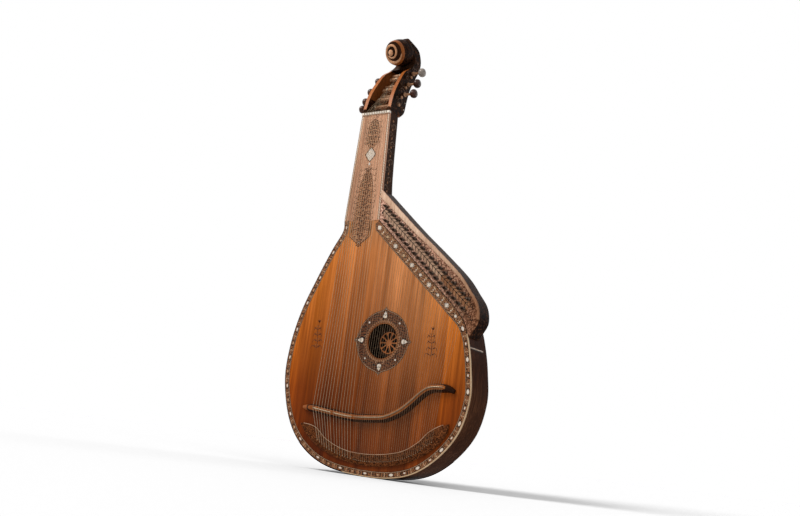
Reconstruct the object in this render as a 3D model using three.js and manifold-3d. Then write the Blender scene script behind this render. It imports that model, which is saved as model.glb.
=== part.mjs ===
// Bandura: a plucked lute with a carved bowl, a wing of tuning pins and a scrolled peg head.
// Millimetres. X runs across the soundboard, -Y is the front, +Z runs up the neck.
import * as THREE from 'three';
import { mergeVertices } from 'three/addons/utils/BufferGeometryUtils.js';
import Module from 'manifold-3d';

const wasm = await Module();
wasm.setup();

// Clearances and overruns
const fit_gap = 0.3;
const cut_overrun = 2;

// Bowl, carved from one piece
const body_width = 466;
const body_length = 537;
const body_depth = 82;
const body_wall = 6.5;
const back_edge_radius = 12;

// Soundboard and its inlaid border
const board_thickness = 4;
const inlay_thickness = 1.3;
const border_width = 11;
const shoulder_border_width = 19;
const border_blend_length = 60;
const sound_hole_radius = 37;
const rosette_ring_width = 1.2;
const rosette_radius = 62;
const rosette_tip_length = 11;

// Braces and the pierced rose that two of them carry
const brace_height = 22;
const brace_width = 9;
const brace_end_length = 34;
const brace_end_share = 0.4;
const rose_radius = 57;
const rose_thickness = 3;
const rose_seat_length = 8;
const rose_petals = 10;
const rose_petal_length = 17;
const rose_petal_start_radius = 9;
const rose_eye_radius = 3.2;
const rose_eye_ring_radius = 33;

// Neck and fingerboard
const neck_head_width = 75;
const neck_foot_width = 94;
const neck_length = 253;
const neck_head_depth = 39;
const neck_heel_depth = 58;
const neck_back_fullness = 0.32;
const fingerboard_thickness = 4;
const tongue_width = 58;
const tongue_length = 36;
const tongue_point_length = 22;
const neck_seat_length = 38;
const nut_length = 5;
const nut_height = 3.4;
const nut_notch_depth = 1.1;

// Peg head with its trough and snail
const head_height = 207;
const head_depth = 117;
const head_tip_width = 52;
const cheek_thickness = 7;
const head_edge_radius = 5;
const snail_radius = 31;
const snail_depth = 68;
const snail_width_share = 0.86;
const snail_tilt = THREE.MathUtils.degToRad(25);
const snail_ridge_radius = 4.4;
const snail_eye_radius = 7.5;
const snail_turns = 1.75;
const trough_spread_share = 0.84;
const head_rounding_power = 4;

// Pegs
const peg_shaft_radius = 4.4;
const peg_far_radius = 3.7;
const peg_far_reach = 2.5;
const peg_winding_radius = 5.6;
const peg_winding_width = 3.2;
const peg_collar_radius = 5.4;
const peg_collar_length = 3.4;
const peg_stem_radius = 3;
const peg_stem_length = 14.5;
const peg_knob_radius = 9.4;
const peg_knob_length = 15;
const peg_knob_shares = [[0.2, 0.85], [0.55, 1], [0.9, 0.75], [1, 0]];

// Wing: the pin block beside the shoulder of the bowl
const wing_width = 52;
const wing_depth = 46;
const wing_edge_radius = 7;
const strip_width = 11;
const strip_thickness = 2.6;
const strip_tip_share = 0.55;

// Tuning pins in two rows
const outer_pins = 20;
const outer_row_distance = 32;
const inner_row_distance = 11;
const pin_radius = 3;
const pin_winding_radius = 3.8;
const pin_winding_width = 4.5;
const pin_head_radius = 2.5;
const pin_height = 17;
const pin_depth = 24;
const pin_string_height = 6.5;

// Bridge, saddles, strings and hitch board
const bridge_height = 13;
const bridge_base_width = 15;
const bridge_top_width = 10;
const bridge_waist_share = 0.35;
const bridge_end_share = 0.42;
const bridge_swell_share = 0.064;
const saddle_radius = 1.4;
const string_radius = 0.45;
const hitch_thickness = 4;
const hitch_bevel = 1.4;
const hitch_spread_share = 0.9;
const hitch_reach_share = 0.6;
const nut_string_spacing = 4.6;
const neck_string_pairs = 7;

// Steps and sides of the curved forms
const outline_steps = 44;
const shoulder_steps = 6;
const bowl_edge_steps = 3;
const disc_steps = 24;
const rosette_steps = 48;
const petal_steps = 5;
const neck_back_steps = 10;
const head_steps = 20;
const trough_steps = 12;
const snail_sides = 18;
const snail_ridge_steps = 30;
const snail_ridge_sides = 6;
const peg_sides = 8;
const pin_sides = 8;
const wing_steps = 22;
const wing_back_steps = 2;
const strip_steps = 20;
const bridge_steps = 26;
const hitch_steps = 18;
const saddle_steps = 16;
const saddle_sides = 6;
const string_sides = 4;

// Places on the soundboard as shares of the bowl's width and length, from the sound hole's axis
const hole_height_share = 0.5121;
const neck_place_share = -0.2017;
const bowl_outline_shares = [
  [-0.353, 0.8774], [-0.4206, 0.7542], [-0.4857, 0.6182], [-0.523, 0.473],
  [-0.5236, 0.3315], [-0.4625, 0.1769], [-0.356, 0.0745], [-0.198, 0.0155],
  [0.0322, 0], [0.205, 0.022], [0.334, 0.089], [0.4313, 0.192],
  [0.47, 0.3166], [0.4592, 0.4283], [0.4356, 0.5233], [0.4034, 0.5978],
  [0.3305, 0.6667],
];
const neck_root_share = 0.9553;
const wing_tip_share = 0.54;
const bridge_line_shares = [
  [-0.384, 0.235], [-0.313, 0.233], [-0.204, 0.222], [-0.088, 0.214], [0.036, 0.22],
  [0.09, 0.229], [0.155, 0.257], [0.204, 0.291], [0.245, 0.324], [0.288, 0.346],
  [0.358, 0.35], [0.399, 0.339],
];
const hitch_inner_shares = [
  [-0.391, 0.171], [-0.303, 0.16], [-0.223, 0.115], [-0.107, 0.084], [0.036, 0.082],
  [0.17, 0.104], [0.251, 0.145], [0.292, 0.181], [0.339, 0.207], [0.386, 0.222],
];
const hitch_outer_shares = [
  [-0.391, 0.171], [-0.341, 0.127], [-0.273, 0.089], [-0.176, 0.058], [-0.056, 0.041],
  [0.043, 0.041], [0.146, 0.054], [0.24, 0.082], [0.33, 0.132], [0.38, 0.184],
  [0.386, 0.222],
];
const bass_saddle_shares = [-0.313, -0.203];
const tenor_saddle_shares = [-0.195, -0.086];
const treble_saddle_shares = [-0.08, 0.358];
const brace_height_shares = [0.79, 0.245];

// Wing outline as shares of the shoulder's length along it and of the wing's width across it
const wing_outline_shares = [
  [-0.205, 0.96], [0.301, 0.954], [0.608, 1.006], [0.889, 1.02], [1.054, 0.898],
  [1.178, 0.755], [1.27, 0.395], [1.297, -0.092], [1.303, -0.383],
];
const outer_row_shares = [-0.023, 1.098];

// Side view of the head: front and back edges as shares of its depth and height, then its width
const head_front_shares = [
  [0, 0], [0.009, 0.063], [0.043, 0.164], [0.12, 0.285], [0.239, 0.411],
  [0.393, 0.546], [0.598, 0.643], [0.744, 0.736], [0.761, 0.797], [0.692, 0.845], [0.564, 0.885],
];
const head_back_shares = [
  [0.38, 0.005], [0.496, 0.077], [0.538, 0.198], [0.607, 0.353], [0.709, 0.478],
  [0.838, 0.589], [0.94, 0.686], [1, 0.778], [0.983, 0.866], [0.88, 0.953], [0.556, 1.012],
];
const head_width_shares = [1, 0.99, 0.95, 0.85, 0.7, 0.5, 0.3, 0.12, 0, -0.1, -0.4];
const trough_shares = [0.016, 0.616];
const trough_depth_share = 0.87;
const trough_root_depth_share = 0.3;
const snail_place_shares = [0.278, 0.771];
const peg_side_shares = [-1, -1, 1, -1, 1, -1, 1];
// Snail from its face to its back, as shares of its radius and depth
const snail_profile_shares = [
  [0, -0.19], [0.16, -0.175], [0.25, -0.11], [0.3, -0.02], [0.72, 0.04], [0.87, 0.05],
  [0.97, 0.18], [1, 0.4], [0.92, 0.65], [0.68, 0.86], [0.35, 0.97], [0, 1],
];
// Pegs along the head, and how deep each stands between its front and back edges, as shares
const peg_place_shares = [
  [0.152, 0.48], [0.232, 0.53], [0.262, 0.66], [0.332, 0.59], [0.37, 0.64], [0.468, 0.59], [0.518, 0.55],
];

// Neck depth along its length, from the heel to the head, as shares between its two depths
const neck_depth_shares = [
  [0, 1], [0.08, 0.93], [0.17, 0.74], [0.27, 0.42], [0.38, 0.22], [0.6, 0.1], [1, 0],
];

// Reference values worked out from the sizes above
const hole_height = hole_height_share * body_length;
const neck_x = neck_place_share * body_width;
const neck_head_z = body_length + neck_length;
const board_back = board_thickness + fit_gap;
const saddle_y = -(fit_gap + bridge_height + fit_gap + saddle_radius);
const string_bridge_y = saddle_y - saddle_radius;
const hitch_y = -(fit_gap + hitch_thickness + fit_gap + string_radius);
const rose_brace_distance = rose_radius - rose_seat_length + brace_width / 2;
const brace_heights = [
  brace_height_shares[0] * body_length, hole_height + rose_brace_distance,
  hole_height - rose_brace_distance, brace_height_shares[1] * body_length,
];
const inner_pins = outer_pins - 1;

// A point on the soundboard from its two shares
function place([acrossShare, upShare]) {
  return new THREE.Vector2(acrossShare * body_width, upShare * body_length);
}

// Points at equal steps along a smooth curve through hand-chosen points
function smooth(points, steps) {
  return new THREE.SplineCurve(points).getSpacedPoints(steps);
}

// Closed triangle mesh through rings with the same number of points, with flat end caps
function loft(rings) {
  const positions = [];
  const indices = [];
  const count = rings[0].length;
  for (const ring of rings) {
    for (const point of ring) positions.push(point.x, point.y, point.z);
  }
  for (let row = 0; row < rings.length - 1; row++) {
    for (let i = 0; i < count; i++) {
      const a = row * count + i;
      const b = row * count + ((i + 1) % count);
      indices.push(a, b, b + count);
      indices.push(a, b + count, a + count);
    }
  }
  const capFirst = capTriangles(rings[0]);
  const capLast = capTriangles(rings[rings.length - 1]);
  const lastRow = (rings.length - 1) * count;
  for (const [a, b, c] of capFirst) indices.push(c, b, a);
  for (const [a, b, c] of capLast) indices.push(lastRow + a, lastRow + b, lastRow + c);
  const geometry = new THREE.BufferGeometry();
  geometry.setAttribute('position', new THREE.Float32BufferAttribute(positions, 3));
  geometry.setIndex(indices);
  return facingOut(geometry);
}

// Triangles of one flat ring, wound the same way as the ring
function capTriangles(ring) {
  const normal = new THREE.Vector3();
  for (let i = 0; i < ring.length; i++) {
    const a = ring[i];
    const b = ring[(i + 1) % ring.length];
    normal.add(new THREE.Vector3().crossVectors(a, b));
  }
  normal.normalize();
  const up = Math.abs(normal.z) < Math.SQRT1_2 ? new THREE.Vector3(0, 0, 1) : new THREE.Vector3(1, 0, 0);
  const side = new THREE.Vector3().crossVectors(up, normal).normalize();
  const rise = new THREE.Vector3().crossVectors(normal, side);
  const flat = ring.map((point) => new THREE.Vector2(point.dot(side), point.dot(rise)));
  return THREE.ShapeUtils.triangulateShape(flat, []);
}

// Turns a closed mesh inside out where its volume comes out negative
function facingOut(geometry) {
  const position = geometry.getAttribute('position');
  const index = geometry.getIndex().array;
  const a = new THREE.Vector3();
  const b = new THREE.Vector3();
  const c = new THREE.Vector3();
  let volume = 0;
  for (let i = 0; i < index.length; i += 3) {
    a.fromBufferAttribute(position, index[i]);
    b.fromBufferAttribute(position, index[i + 1]);
    c.fromBufferAttribute(position, index[i + 2]);
    volume += a.dot(b.cross(c));
  }
  if (volume < 0) {
    for (let i = 0; i < index.length; i += 3) [index[i], index[i + 2]] = [index[i + 2], index[i]];
  }
  return geometry;
}

// Solid from a closed mesh
function solid(geometry) {
  const bare = geometry.clone();
  bare.deleteAttribute('normal');
  bare.deleteAttribute('uv');
  const merged = mergeVertices(bare);
  const vertProperties = new Float32Array(merged.getAttribute('position').array);
  const triVerts = new Uint32Array(merged.getIndex().array);
  return new wasm.Manifold(new wasm.Mesh({ numProp: 3, vertProperties, triVerts }));
}

// Mesh geometry from a solid
function geometryOf(body) {
  const mesh = body.getMesh();
  const geometry = new THREE.BufferGeometry();
  geometry.setAttribute('position', new THREE.BufferAttribute(mesh.vertProperties, 3));
  geometry.setIndex(new THREE.BufferAttribute(mesh.triVerts, 1));
  return geometry;
}

// Flat plate: an outline on the soundboard, from its back face towards the front
function plate(shape, back, thickness, steps = disc_steps) {
  const geometry = new THREE.ExtrudeGeometry(shape, {
    depth: thickness, bevelEnabled: false, curveSegments: steps,
  });
  geometry.rotateX(Math.PI / 2);
  geometry.translate(0, back, 0);
  return geometry;
}

// Outline moved inwards, or outwards where the distance is negative, with mitred corners
function inset(outline, distance) {
  const count = outline.length;
  const distanceAt = typeof distance === 'function' ? distance : () => distance;
  const turn = THREE.ShapeUtils.isClockWise(outline) ? -1 : 1;
  return outline.map((point, i) => {
    const before = point.clone().sub(outline[(i + count - 1) % count]).normalize();
    const after = outline[(i + 1) % count].clone().sub(point).normalize();
    const first = new THREE.Vector2(-before.y, before.x);
    const second = new THREE.Vector2(-after.y, after.x);
    const mitre = first.clone().add(second).divideScalar(1 + first.dot(second));
    return point.clone().addScaledVector(mitre, turn * distanceAt(point));
  });
}

// Ring of an outline at one depth behind the soundboard
function ringAt(outline, depth) {
  return outline.map((point) => new THREE.Vector3(point.x, depth, point.y));
}

// Round tube through points, with its own radius at each point
function tube(points, radii, sides) {
  const rings = [];
  let side = new THREE.Vector3(1, 0, 0);
  const first = points[1].clone().sub(points[0]).normalize();
  if (Math.abs(first.x) > Math.SQRT1_2) side = new THREE.Vector3(0, 0, 1);
  for (let i = 0; i < points.length; i++) {
    const from = points[Math.max(i - 1, 0)];
    const to = points[Math.min(i + 1, points.length - 1)];
    const along = to.clone().sub(from).normalize();
    side = side.clone().addScaledVector(along, -side.dot(along)).normalize();
    const rise = new THREE.Vector3().crossVectors(along, side);
    const ring = [];
    for (let k = 0; k < sides; k++) {
      const angle = ((k + 0.5) / sides) * 2 * Math.PI;
      const point = points[i].clone();
      point.addScaledVector(side, radii[i] * Math.cos(angle));
      point.addScaledVector(rise, radii[i] * Math.sin(angle));
      ring.push(point);
    }
    rings.push(ring);
  }
  return loft(rings);
}

// Value of a hand-chosen table at a share of its length
function tableAt(table, share) {
  let i = 0;
  while (i < table.length - 2 && table[i + 1][0] < share) i++;
  const [from, low] = table[i];
  const [to, high] = table[i + 1];
  return THREE.MathUtils.lerp(low, high, (share - from) / (to - from));
}

// Height of a line of points at a place across the soundboard
function lineHeight(line, x) {
  let i = 0;
  while (i < line.length - 2 && line[i + 1].x < x) i++;
  return THREE.MathUtils.lerp(line[i].y, line[i + 1].y, (x - line[i].x) / (line[i + 1].x - line[i].x));
}

// Bowl outline: a spline round the bowl, then the straight shoulder up to the neck
function makeBodyOutline() {
  const left = neck_x - neck_foot_width / 2;
  const right = neck_x + neck_foot_width / 2;
  const curve = [
    new THREE.Vector2(left, body_length),
    new THREE.Vector2(left, neck_root_share * body_length),
    ...bowl_outline_shares.map(place),
  ];
  const round = smooth(curve, outline_steps);
  const shoulderFoot = round[round.length - 1];
  const shoulderTop = new THREE.Vector2(right, body_length);
  const outline = [...round];
  for (let i = 1; i <= shoulder_steps; i++) {
    outline.push(shoulderFoot.clone().lerp(shoulderTop, i / shoulder_steps));
  }
  return { outline, shoulderFoot, shoulderTop };
}

const { outline: body_outline, shoulderFoot: shoulder_foot, shoulderTop: shoulder_top } = makeBodyOutline();
const shoulder_length = shoulder_foot.distanceTo(shoulder_top);
const shoulder_along = shoulder_foot.clone().sub(shoulder_top).normalize();
const shoulder_across = new THREE.Vector2(-shoulder_along.y, shoulder_along.x);
const hole_center = new THREE.Vector2(0, hole_height);

// A point beside the shoulder, from its distance along and across
function besideShoulder(along, across) {
  const down = shoulder_top.clone().addScaledVector(shoulder_along, along);
  return down.addScaledVector(shoulder_across, across);
}

// Outer skin of the bowl as rings: straight sides, then a rounded edge into the flat back
function bowlRings(start, wall) {
  const rings = [ringAt(inset(body_outline, wall), start)];
  const radius = back_edge_radius - wall;
  for (let i = 0; i <= bowl_edge_steps; i++) {
    const angle = (i / bowl_edge_steps) * (Math.PI / 2);
    const depth = body_depth - back_edge_radius + radius * Math.sin(angle);
    rings.push(ringAt(inset(body_outline, wall + radius * (1 - Math.cos(angle))), depth));
  }
  return rings;
}

// Bowl hollowed from the front
function makeBodyShell() {
  const outer = solid(loft(bowlRings(board_back, 0)));
  const hollow = solid(loft(bowlRings(board_back - cut_overrun, body_wall)));
  return geometryOf(outer.subtract(hollow));
}

// Width of the inlaid border: wider along the shoulder beside the wing
function borderWidthAt(point) {
  if (point.x < shoulder_top.x) return border_width;
  const rise = (point.y - wing_tip_share * body_length) / border_blend_length;
  return THREE.MathUtils.lerp(border_width, shoulder_border_width, THREE.MathUtils.clamp(rise, 0, 1));
}

// Ring between the bowl's outline and the border's inner edge, moved by a clearance
function borderRing(clearance) {
  const outer = solid(plate(new THREE.Shape(inset(body_outline, -cut_overrun)), inlay_thickness + clearance,
    inlay_thickness + clearance + cut_overrun));
  const innerEdge = inset(body_outline, (point) => borderWidthAt(point) + clearance);
  const inner = solid(plate(new THREE.Shape(innerEdge), body_depth, body_depth + cut_overrun * 2));
  return outer.subtract(inner);
}

// Neck foot on the soundboard, which the border leaves free
function footBlock(clearance) {
  const half = neck_foot_width / 2 - border_width;
  const low = body_length - neck_seat_length;
  const corners = [
    new THREE.Vector2(neck_x - half, low), new THREE.Vector2(neck_x + half, low),
    new THREE.Vector2(neck_x + half, neck_head_z), new THREE.Vector2(neck_x - half, neck_head_z),
  ];
  return solid(plate(new THREE.Shape(inset(corners, -clearance)), body_depth, body_depth + cut_overrun * 2));
}

// Marquetry border, open at the neck
function makeBorder() {
  const outline = solid(plate(new THREE.Shape(body_outline), inlay_thickness, inlay_thickness));
  const ring = borderRing(0).intersect(outline);
  return geometryOf(ring.subtract(footBlock(0)));
}

// Outline of the rosette: a round band with four ogee tips
function rosetteOutline(growth) {
  const points = [];
  for (let i = 0; i < rosette_steps; i++) {
    const angle = (i / rosette_steps) * 2 * Math.PI;
    const tip = (1 - Math.abs(Math.sin(2 * angle))) ** 2;
    const radius = rosette_radius + growth + rosette_tip_length * tip;
    points.push(new THREE.Vector2(
      hole_center.x + radius * Math.cos(angle), hole_center.y + radius * Math.sin(angle)));
  }
  return points;
}

// Round hole in a plate
function roundHole(center, radius) {
  return new THREE.Path().absarc(center.x, center.y, radius, 0, 2 * Math.PI, true);
}

// Rosette let into the soundboard round the sound hole
function makeRosette() {
  const shape = new THREE.Shape(rosetteOutline(0));
  shape.holes.push(roundHole(hole_center, sound_hole_radius + rosette_ring_width));
  return plate(shape, inlay_thickness, inlay_thickness);
}

// Tongue of the fingerboard on the soundboard: straight sides and a shield point
function tongueOutline(growth) {
  const half = tongue_width / 2;
  const base = body_length + cut_overrun;
  const shoulder = body_length - tongue_length;
  const points = [
    new THREE.Vector2(neck_x + half, base), new THREE.Vector2(neck_x - half, base),
    new THREE.Vector2(neck_x - half, shoulder),
    new THREE.Vector2(neck_x, shoulder - tongue_point_length),
    new THREE.Vector2(neck_x + half, shoulder),
  ];
  return inset(points, -growth);
}

// Soundboard with its sound hole and the seats of its inlays
function makeSoundboard() {
  const shape = new THREE.Shape(body_outline);
  shape.holes.push(roundHole(hole_center, sound_hole_radius));
  const seat = inlay_thickness + fit_gap;
  const borderSeat = borderRing(fit_gap).subtract(footBlock(-fit_gap));
  const rosetteSeat = new THREE.Shape(rosetteOutline(fit_gap));
  rosetteSeat.holes.push(roundHole(hole_center, sound_hole_radius + rosette_ring_width - fit_gap));
  const tongueSeat = new THREE.Shape(tongueOutline(fit_gap));
  return geometryOf(solid(plate(shape, board_thickness, board_thickness))
    .subtract(borderSeat)
    .subtract(solid(plate(rosetteSeat, seat, seat + cut_overrun)))
    .subtract(solid(plate(tongueSeat, seat, seat + cut_overrun))));
}

// Free width inside the bowl at a height
function chamberSpan(height) {
  const edge = inset(body_outline, body_wall + fit_gap);
  let low = 0;
  let high = 0;
  for (let i = 0; i < edge.length; i++) {
    const a = edge[i];
    const b = edge[(i + 1) % edge.length];
    if ((a.y - height) * (b.y - height) > 0 || a.y === b.y) continue;
    const x = THREE.MathUtils.lerp(a.x, b.x, (height - a.y) / (b.y - a.y));
    low = Math.min(low, x);
    high = Math.max(high, x);
  }
  return [low, high];
}

// Brace under the soundboard, thinned towards its ends
function makeBrace(height) {
  const upper = chamberSpan(height + brace_width / 2);
  const lower = chamberSpan(height - brace_width / 2);
  const low = Math.max(upper[0], lower[0]);
  const high = Math.min(upper[1], lower[1]);
  const front = board_back;
  const profile = [
    [low, front], [high, front], [high, front + brace_height * brace_end_share],
    [high - brace_end_length, front + brace_height], [low + brace_end_length, front + brace_height],
    [low, front + brace_height * brace_end_share],
  ];
  const ring = (z) => profile.map(([x, y]) => new THREE.Vector3(x, y, z));
  return loft([ring(height - brace_width / 2), ring(height + brace_width / 2)]);
}

// Pierced rose behind the sound hole: a hub with petals cut through and a ring of round eyes
function makeRose() {
  const shape = new THREE.Shape().absarc(hole_center.x, hole_center.y, rose_radius, 0, 2 * Math.PI, false);
  const petalHalf = (rose_petal_start_radius + rose_petal_length / 2) * Math.sin(Math.PI / rose_petals) / 2;
  for (let i = 0; i < rose_petals; i++) {
    const angle = ((i + 0.5) / rose_petals) * 2 * Math.PI;
    const outward = new THREE.Vector2(Math.cos(angle), Math.sin(angle));
    const sideways = new THREE.Vector2(-outward.y, outward.x);
    const at = (distance, side) => hole_center.clone()
      .addScaledVector(outward, distance).addScaledVector(sideways, side);
    const root = at(rose_petal_start_radius, 0);
    const belly = rose_petal_start_radius + rose_petal_length / 2;
    const tip = at(rose_petal_start_radius + rose_petal_length, 0);
    const petal = new THREE.Path().moveTo(root.x, root.y);
    const left = at(belly, petalHalf * 2);
    const right = at(belly, -petalHalf * 2);
    petal.quadraticCurveTo(left.x, left.y, tip.x, tip.y);
    petal.quadraticCurveTo(right.x, right.y, root.x, root.y);
    shape.holes.push(petal);
    const between = (i / rose_petals) * 2 * Math.PI;
    const eye = hole_center.clone().add(new THREE.Vector2(Math.cos(between), Math.sin(between))
      .multiplyScalar(rose_eye_ring_radius));
    shape.holes.push(roundHole(eye, rose_eye_radius));
  }
  const back = board_back + brace_height + fit_gap + rose_thickness;
  return plate(shape, back, rose_thickness, petal_steps);
}

// Width of the neck at a height
function neckWidthAt(height) {
  const share = (height - body_length) / neck_length;
  return THREE.MathUtils.lerp(neck_foot_width, neck_head_width, share);
}

// Neck: flat front, rounded back, deepening into its heel
function neckBody(clearance) {
  const front = fingerboard_thickness + fit_gap;
  const rings = [];
  for (const [share, depthShare] of neck_depth_shares) {
    const height = body_length + fit_gap + share * (neck_length - fit_gap);
    const depth = THREE.MathUtils.lerp(neck_head_depth, neck_heel_depth, depthShare) + clearance;
    const half = neckWidthAt(height) / 2 + clearance;
    const ring = [];
    for (let i = 0; i <= neck_back_steps; i++) {
      const angle = (i / neck_back_steps) * Math.PI;
      const x = Math.sign(Math.cos(angle)) * Math.abs(Math.cos(angle)) ** neck_back_fullness;
      const y = Math.abs(Math.sin(angle)) ** neck_back_fullness;
      ring.push(new THREE.Vector3(neck_x + half * x, front - clearance + (depth + clearance) * y, height));
    }
    rings.push(ring);
  }
  return loft(rings);
}

// Fingerboard on the neck, with its tongue let into the soundboard
function fingerboardBody(clearance) {
  const top = neck_head_z - nut_length - fit_gap;
  const foot = body_length + fit_gap;
  const half = (height) => neckWidthAt(height) / 2 + clearance;
  const corners = [
    new THREE.Vector2(neck_x - half(foot), foot), new THREE.Vector2(neck_x + half(foot), foot),
    new THREE.Vector2(neck_x + half(top), top), new THREE.Vector2(neck_x - half(top), top),
  ];
  return solid(plate(new THREE.Shape(corners), fingerboard_thickness + clearance,
    fingerboard_thickness + 2 * clearance));
}

// Fingerboard fused with its tongue
function makeFingerboard() {
  const tongue = solid(plate(new THREE.Shape(tongueOutline(0)), inlay_thickness, inlay_thickness));
  return geometryOf(fingerboardBody(0).add(tongue));
}

// Place of a string on the nut, counted from the left
function nutStringX(index) {
  return neck_x + (index - (2 * neck_string_pairs - 1) / 2) * nut_string_spacing;
}

// Nut with a notch for each neck string
function makeNut() {
  const half = neckWidthAt(neck_head_z) / 2;
  const back = fingerboard_thickness;
  const profile = [[neck_x - half, back], [neck_x - half, -nut_height]];
  for (let i = 0; i < 2 * neck_string_pairs; i++) {
    const x = nutStringX(i);
    profile.push([x - nut_notch_depth, -nut_height]);
    profile.push([x, -nut_height + nut_notch_depth]);
    profile.push([x + nut_notch_depth, -nut_height]);
  }
  profile.push([neck_x + half, -nut_height], [neck_x + half, back]);
  const ring = (z) => profile.map(([x, y]) => new THREE.Vector3(x, y, z));
  return loft([ring(neck_head_z - nut_length), ring(neck_head_z)]);
}

// Edges of the head in side view, as curves of depth and height
function headEdge(shares) {
  const points = shares.map(([depthShare, heightShare]) => new THREE.Vector2(
    depthShare * head_depth, neck_head_z + fit_gap + heightShare * (head_height - fit_gap)));
  return new THREE.SplineCurve(points);
}

const head_front = headEdge(head_front_shares);
const head_back = headEdge(head_back_shares);

// Half of the head's width at a share of its length
function headHalfWidth(share) {
  const table = head_width_shares.map((value, i) => [i / (head_width_shares.length - 1), value]);
  return THREE.MathUtils.lerp(head_tip_width, neck_head_width, tableAt(table, share)) / 2;
}

// Cross-section of the head: flat front edge, rounded back corners
function headRing(share, startDistance, endShare, thinning, corner) {
  const front = head_front.getPoint(share);
  const back = head_back.getPoint(share);
  const inward = back.clone().sub(front).normalize();
  const depth = back.distanceTo(front) * endShare;
  const half = headHalfWidth(share) - thinning;
  const profile = [
    [-half, startDistance], [half, startDistance], [half, depth - corner],
    [half - corner * (1 - Math.SQRT1_2), depth - corner * (1 - Math.SQRT1_2)], [half - corner, depth],
    [corner - half, depth], [corner * (1 - Math.SQRT1_2) - half, depth - corner * (1 - Math.SQRT1_2)],
    [-half, depth - corner],
  ];
  return profile.map(([x, distance]) => {
    const point = front.clone().addScaledVector(inward, distance);
    return new THREE.Vector3(neck_x + x, point.x, point.y);
  });
}

// Snail at the top: a turned bulb on a tilted axis with a tapering spiral ridge on its face
function makeSnail() {
  const [depthShare, heightShare] = snail_place_shares;
  const face = new THREE.Vector3(neck_x, depthShare * head_depth, neck_head_z + heightShare * head_height);
  const profile = snail_profile_shares.map(([radiusShare, lengthShare]) => new THREE.Vector2(
    radiusShare * snail_radius, lengthShare * snail_depth));
  const bulb = new THREE.LatheGeometry(profile, snail_sides);
  const ridgePoints = [];
  const ridgeRadii = [];
  const ridgeStart = snail_radius - snail_ridge_radius;
  const ridgeEnd = snail_eye_radius + snail_ridge_radius / 2;
  for (let i = 0; i <= snail_ridge_steps; i++) {
    const share = i / snail_ridge_steps;
    const angle = -share * snail_turns * 2 * Math.PI;
    const radius = THREE.MathUtils.lerp(ridgeStart, ridgeEnd, share);
    const rise = THREE.MathUtils.lerp(snail_ridge_radius, -snail_eye_radius, share);
    ridgePoints.push(new THREE.Vector3(radius * Math.cos(angle), rise, radius * Math.sin(angle)));
    ridgeRadii.push(THREE.MathUtils.lerp(snail_ridge_radius, snail_ridge_radius / 2, share));
  }
  const ridge = tube(ridgePoints, ridgeRadii, snail_ridge_sides);
  const turned = solid(bulb).add(solid(ridge));
  const geometry = geometryOf(turned);
  geometry.scale(snail_width_share, 1, 1);
  geometry.rotateX(snail_tilt);
  geometry.translate(face.x, face.y, face.z);
  return solid(geometry);
}

// Peg places on the head, counted from the nut, with the side of each knob
function pegPlaces() {
  return peg_place_shares.map(([share, depthShare], i) => {
    const front = head_front.getPoint(share);
    const back = head_back.getPoint(share);
    const center = front.clone().lerp(back, depthShare);
    return { share, depth: center.x, height: center.y, side: peg_side_shares[i], index: i };
  });
}

// Half spread of the two strings that wind on one peg
function windingOffset(index) {
  return (neck_string_pairs - 0.5 - index) * nut_string_spacing * trough_spread_share;
}

// Revolved form about an axis along X, from pairs of place and radius
function turnedAlongX(profile, depth, height, sides) {
  const points = profile.map(([x, radius]) => new THREE.Vector2(radius, x));
  const geometry = new THREE.LatheGeometry(points, sides);
  geometry.rotateZ(-Math.PI / 2);
  geometry.translate(0, depth, height);
  return geometry;
}

// Holes for one peg through both cheeks
function pegHole(peg) {
  const reach = neck_head_width;
  const radius = (peg_shaft_radius + fit_gap) / Math.cos(Math.PI / peg_sides);
  const profile = [
    [neck_x - reach, 0], [neck_x - reach, radius], [neck_x + reach, radius], [neck_x + reach, 0],
  ];
  return solid(turnedAlongX(profile, peg.depth, peg.height, peg_sides));
}

// Peg: tapered shaft through both cheeks, two windings in the trough, collar, stem and knob
function makePeg(peg) {
  const half = headHalfWidth(peg.share - peg_collar_radius / head_height);
  const offset = windingOffset(peg.index);
  const outside = half + fit_gap;
  const stemStart = outside + peg_collar_length;
  const knobStart = stemStart + peg_stem_length;
  const ring = peg_winding_width / 2;
  const profile = [
    [-half - peg_far_reach, 0], [-half - peg_far_reach, peg_far_radius],
    [-offset - ring, peg_shaft_radius], [-offset - ring, peg_winding_radius],
    [-offset + ring, peg_winding_radius], [-offset + ring, peg_shaft_radius],
    [offset - ring, peg_shaft_radius], [offset - ring, peg_winding_radius],
    [offset + ring, peg_winding_radius], [offset + ring, peg_shaft_radius],
    [outside, peg_shaft_radius], [outside, peg_collar_radius], [stemStart, peg_collar_radius],
    [stemStart, peg_stem_radius], [knobStart, peg_stem_radius],
    ...peg_knob_shares.map(([length, width]) => [
      knobStart + length * peg_knob_length, width * peg_knob_radius,
    ]),
  ];
  const placed = profile.map(([x, radius]) => [peg.side * x, radius]);
  if (peg.side < 0) placed.reverse();
  const geometry = turnedAlongX(placed, peg.depth, peg.height, peg_sides);
  geometry.translate(neck_x, 0, 0);
  return geometry;
}

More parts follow.
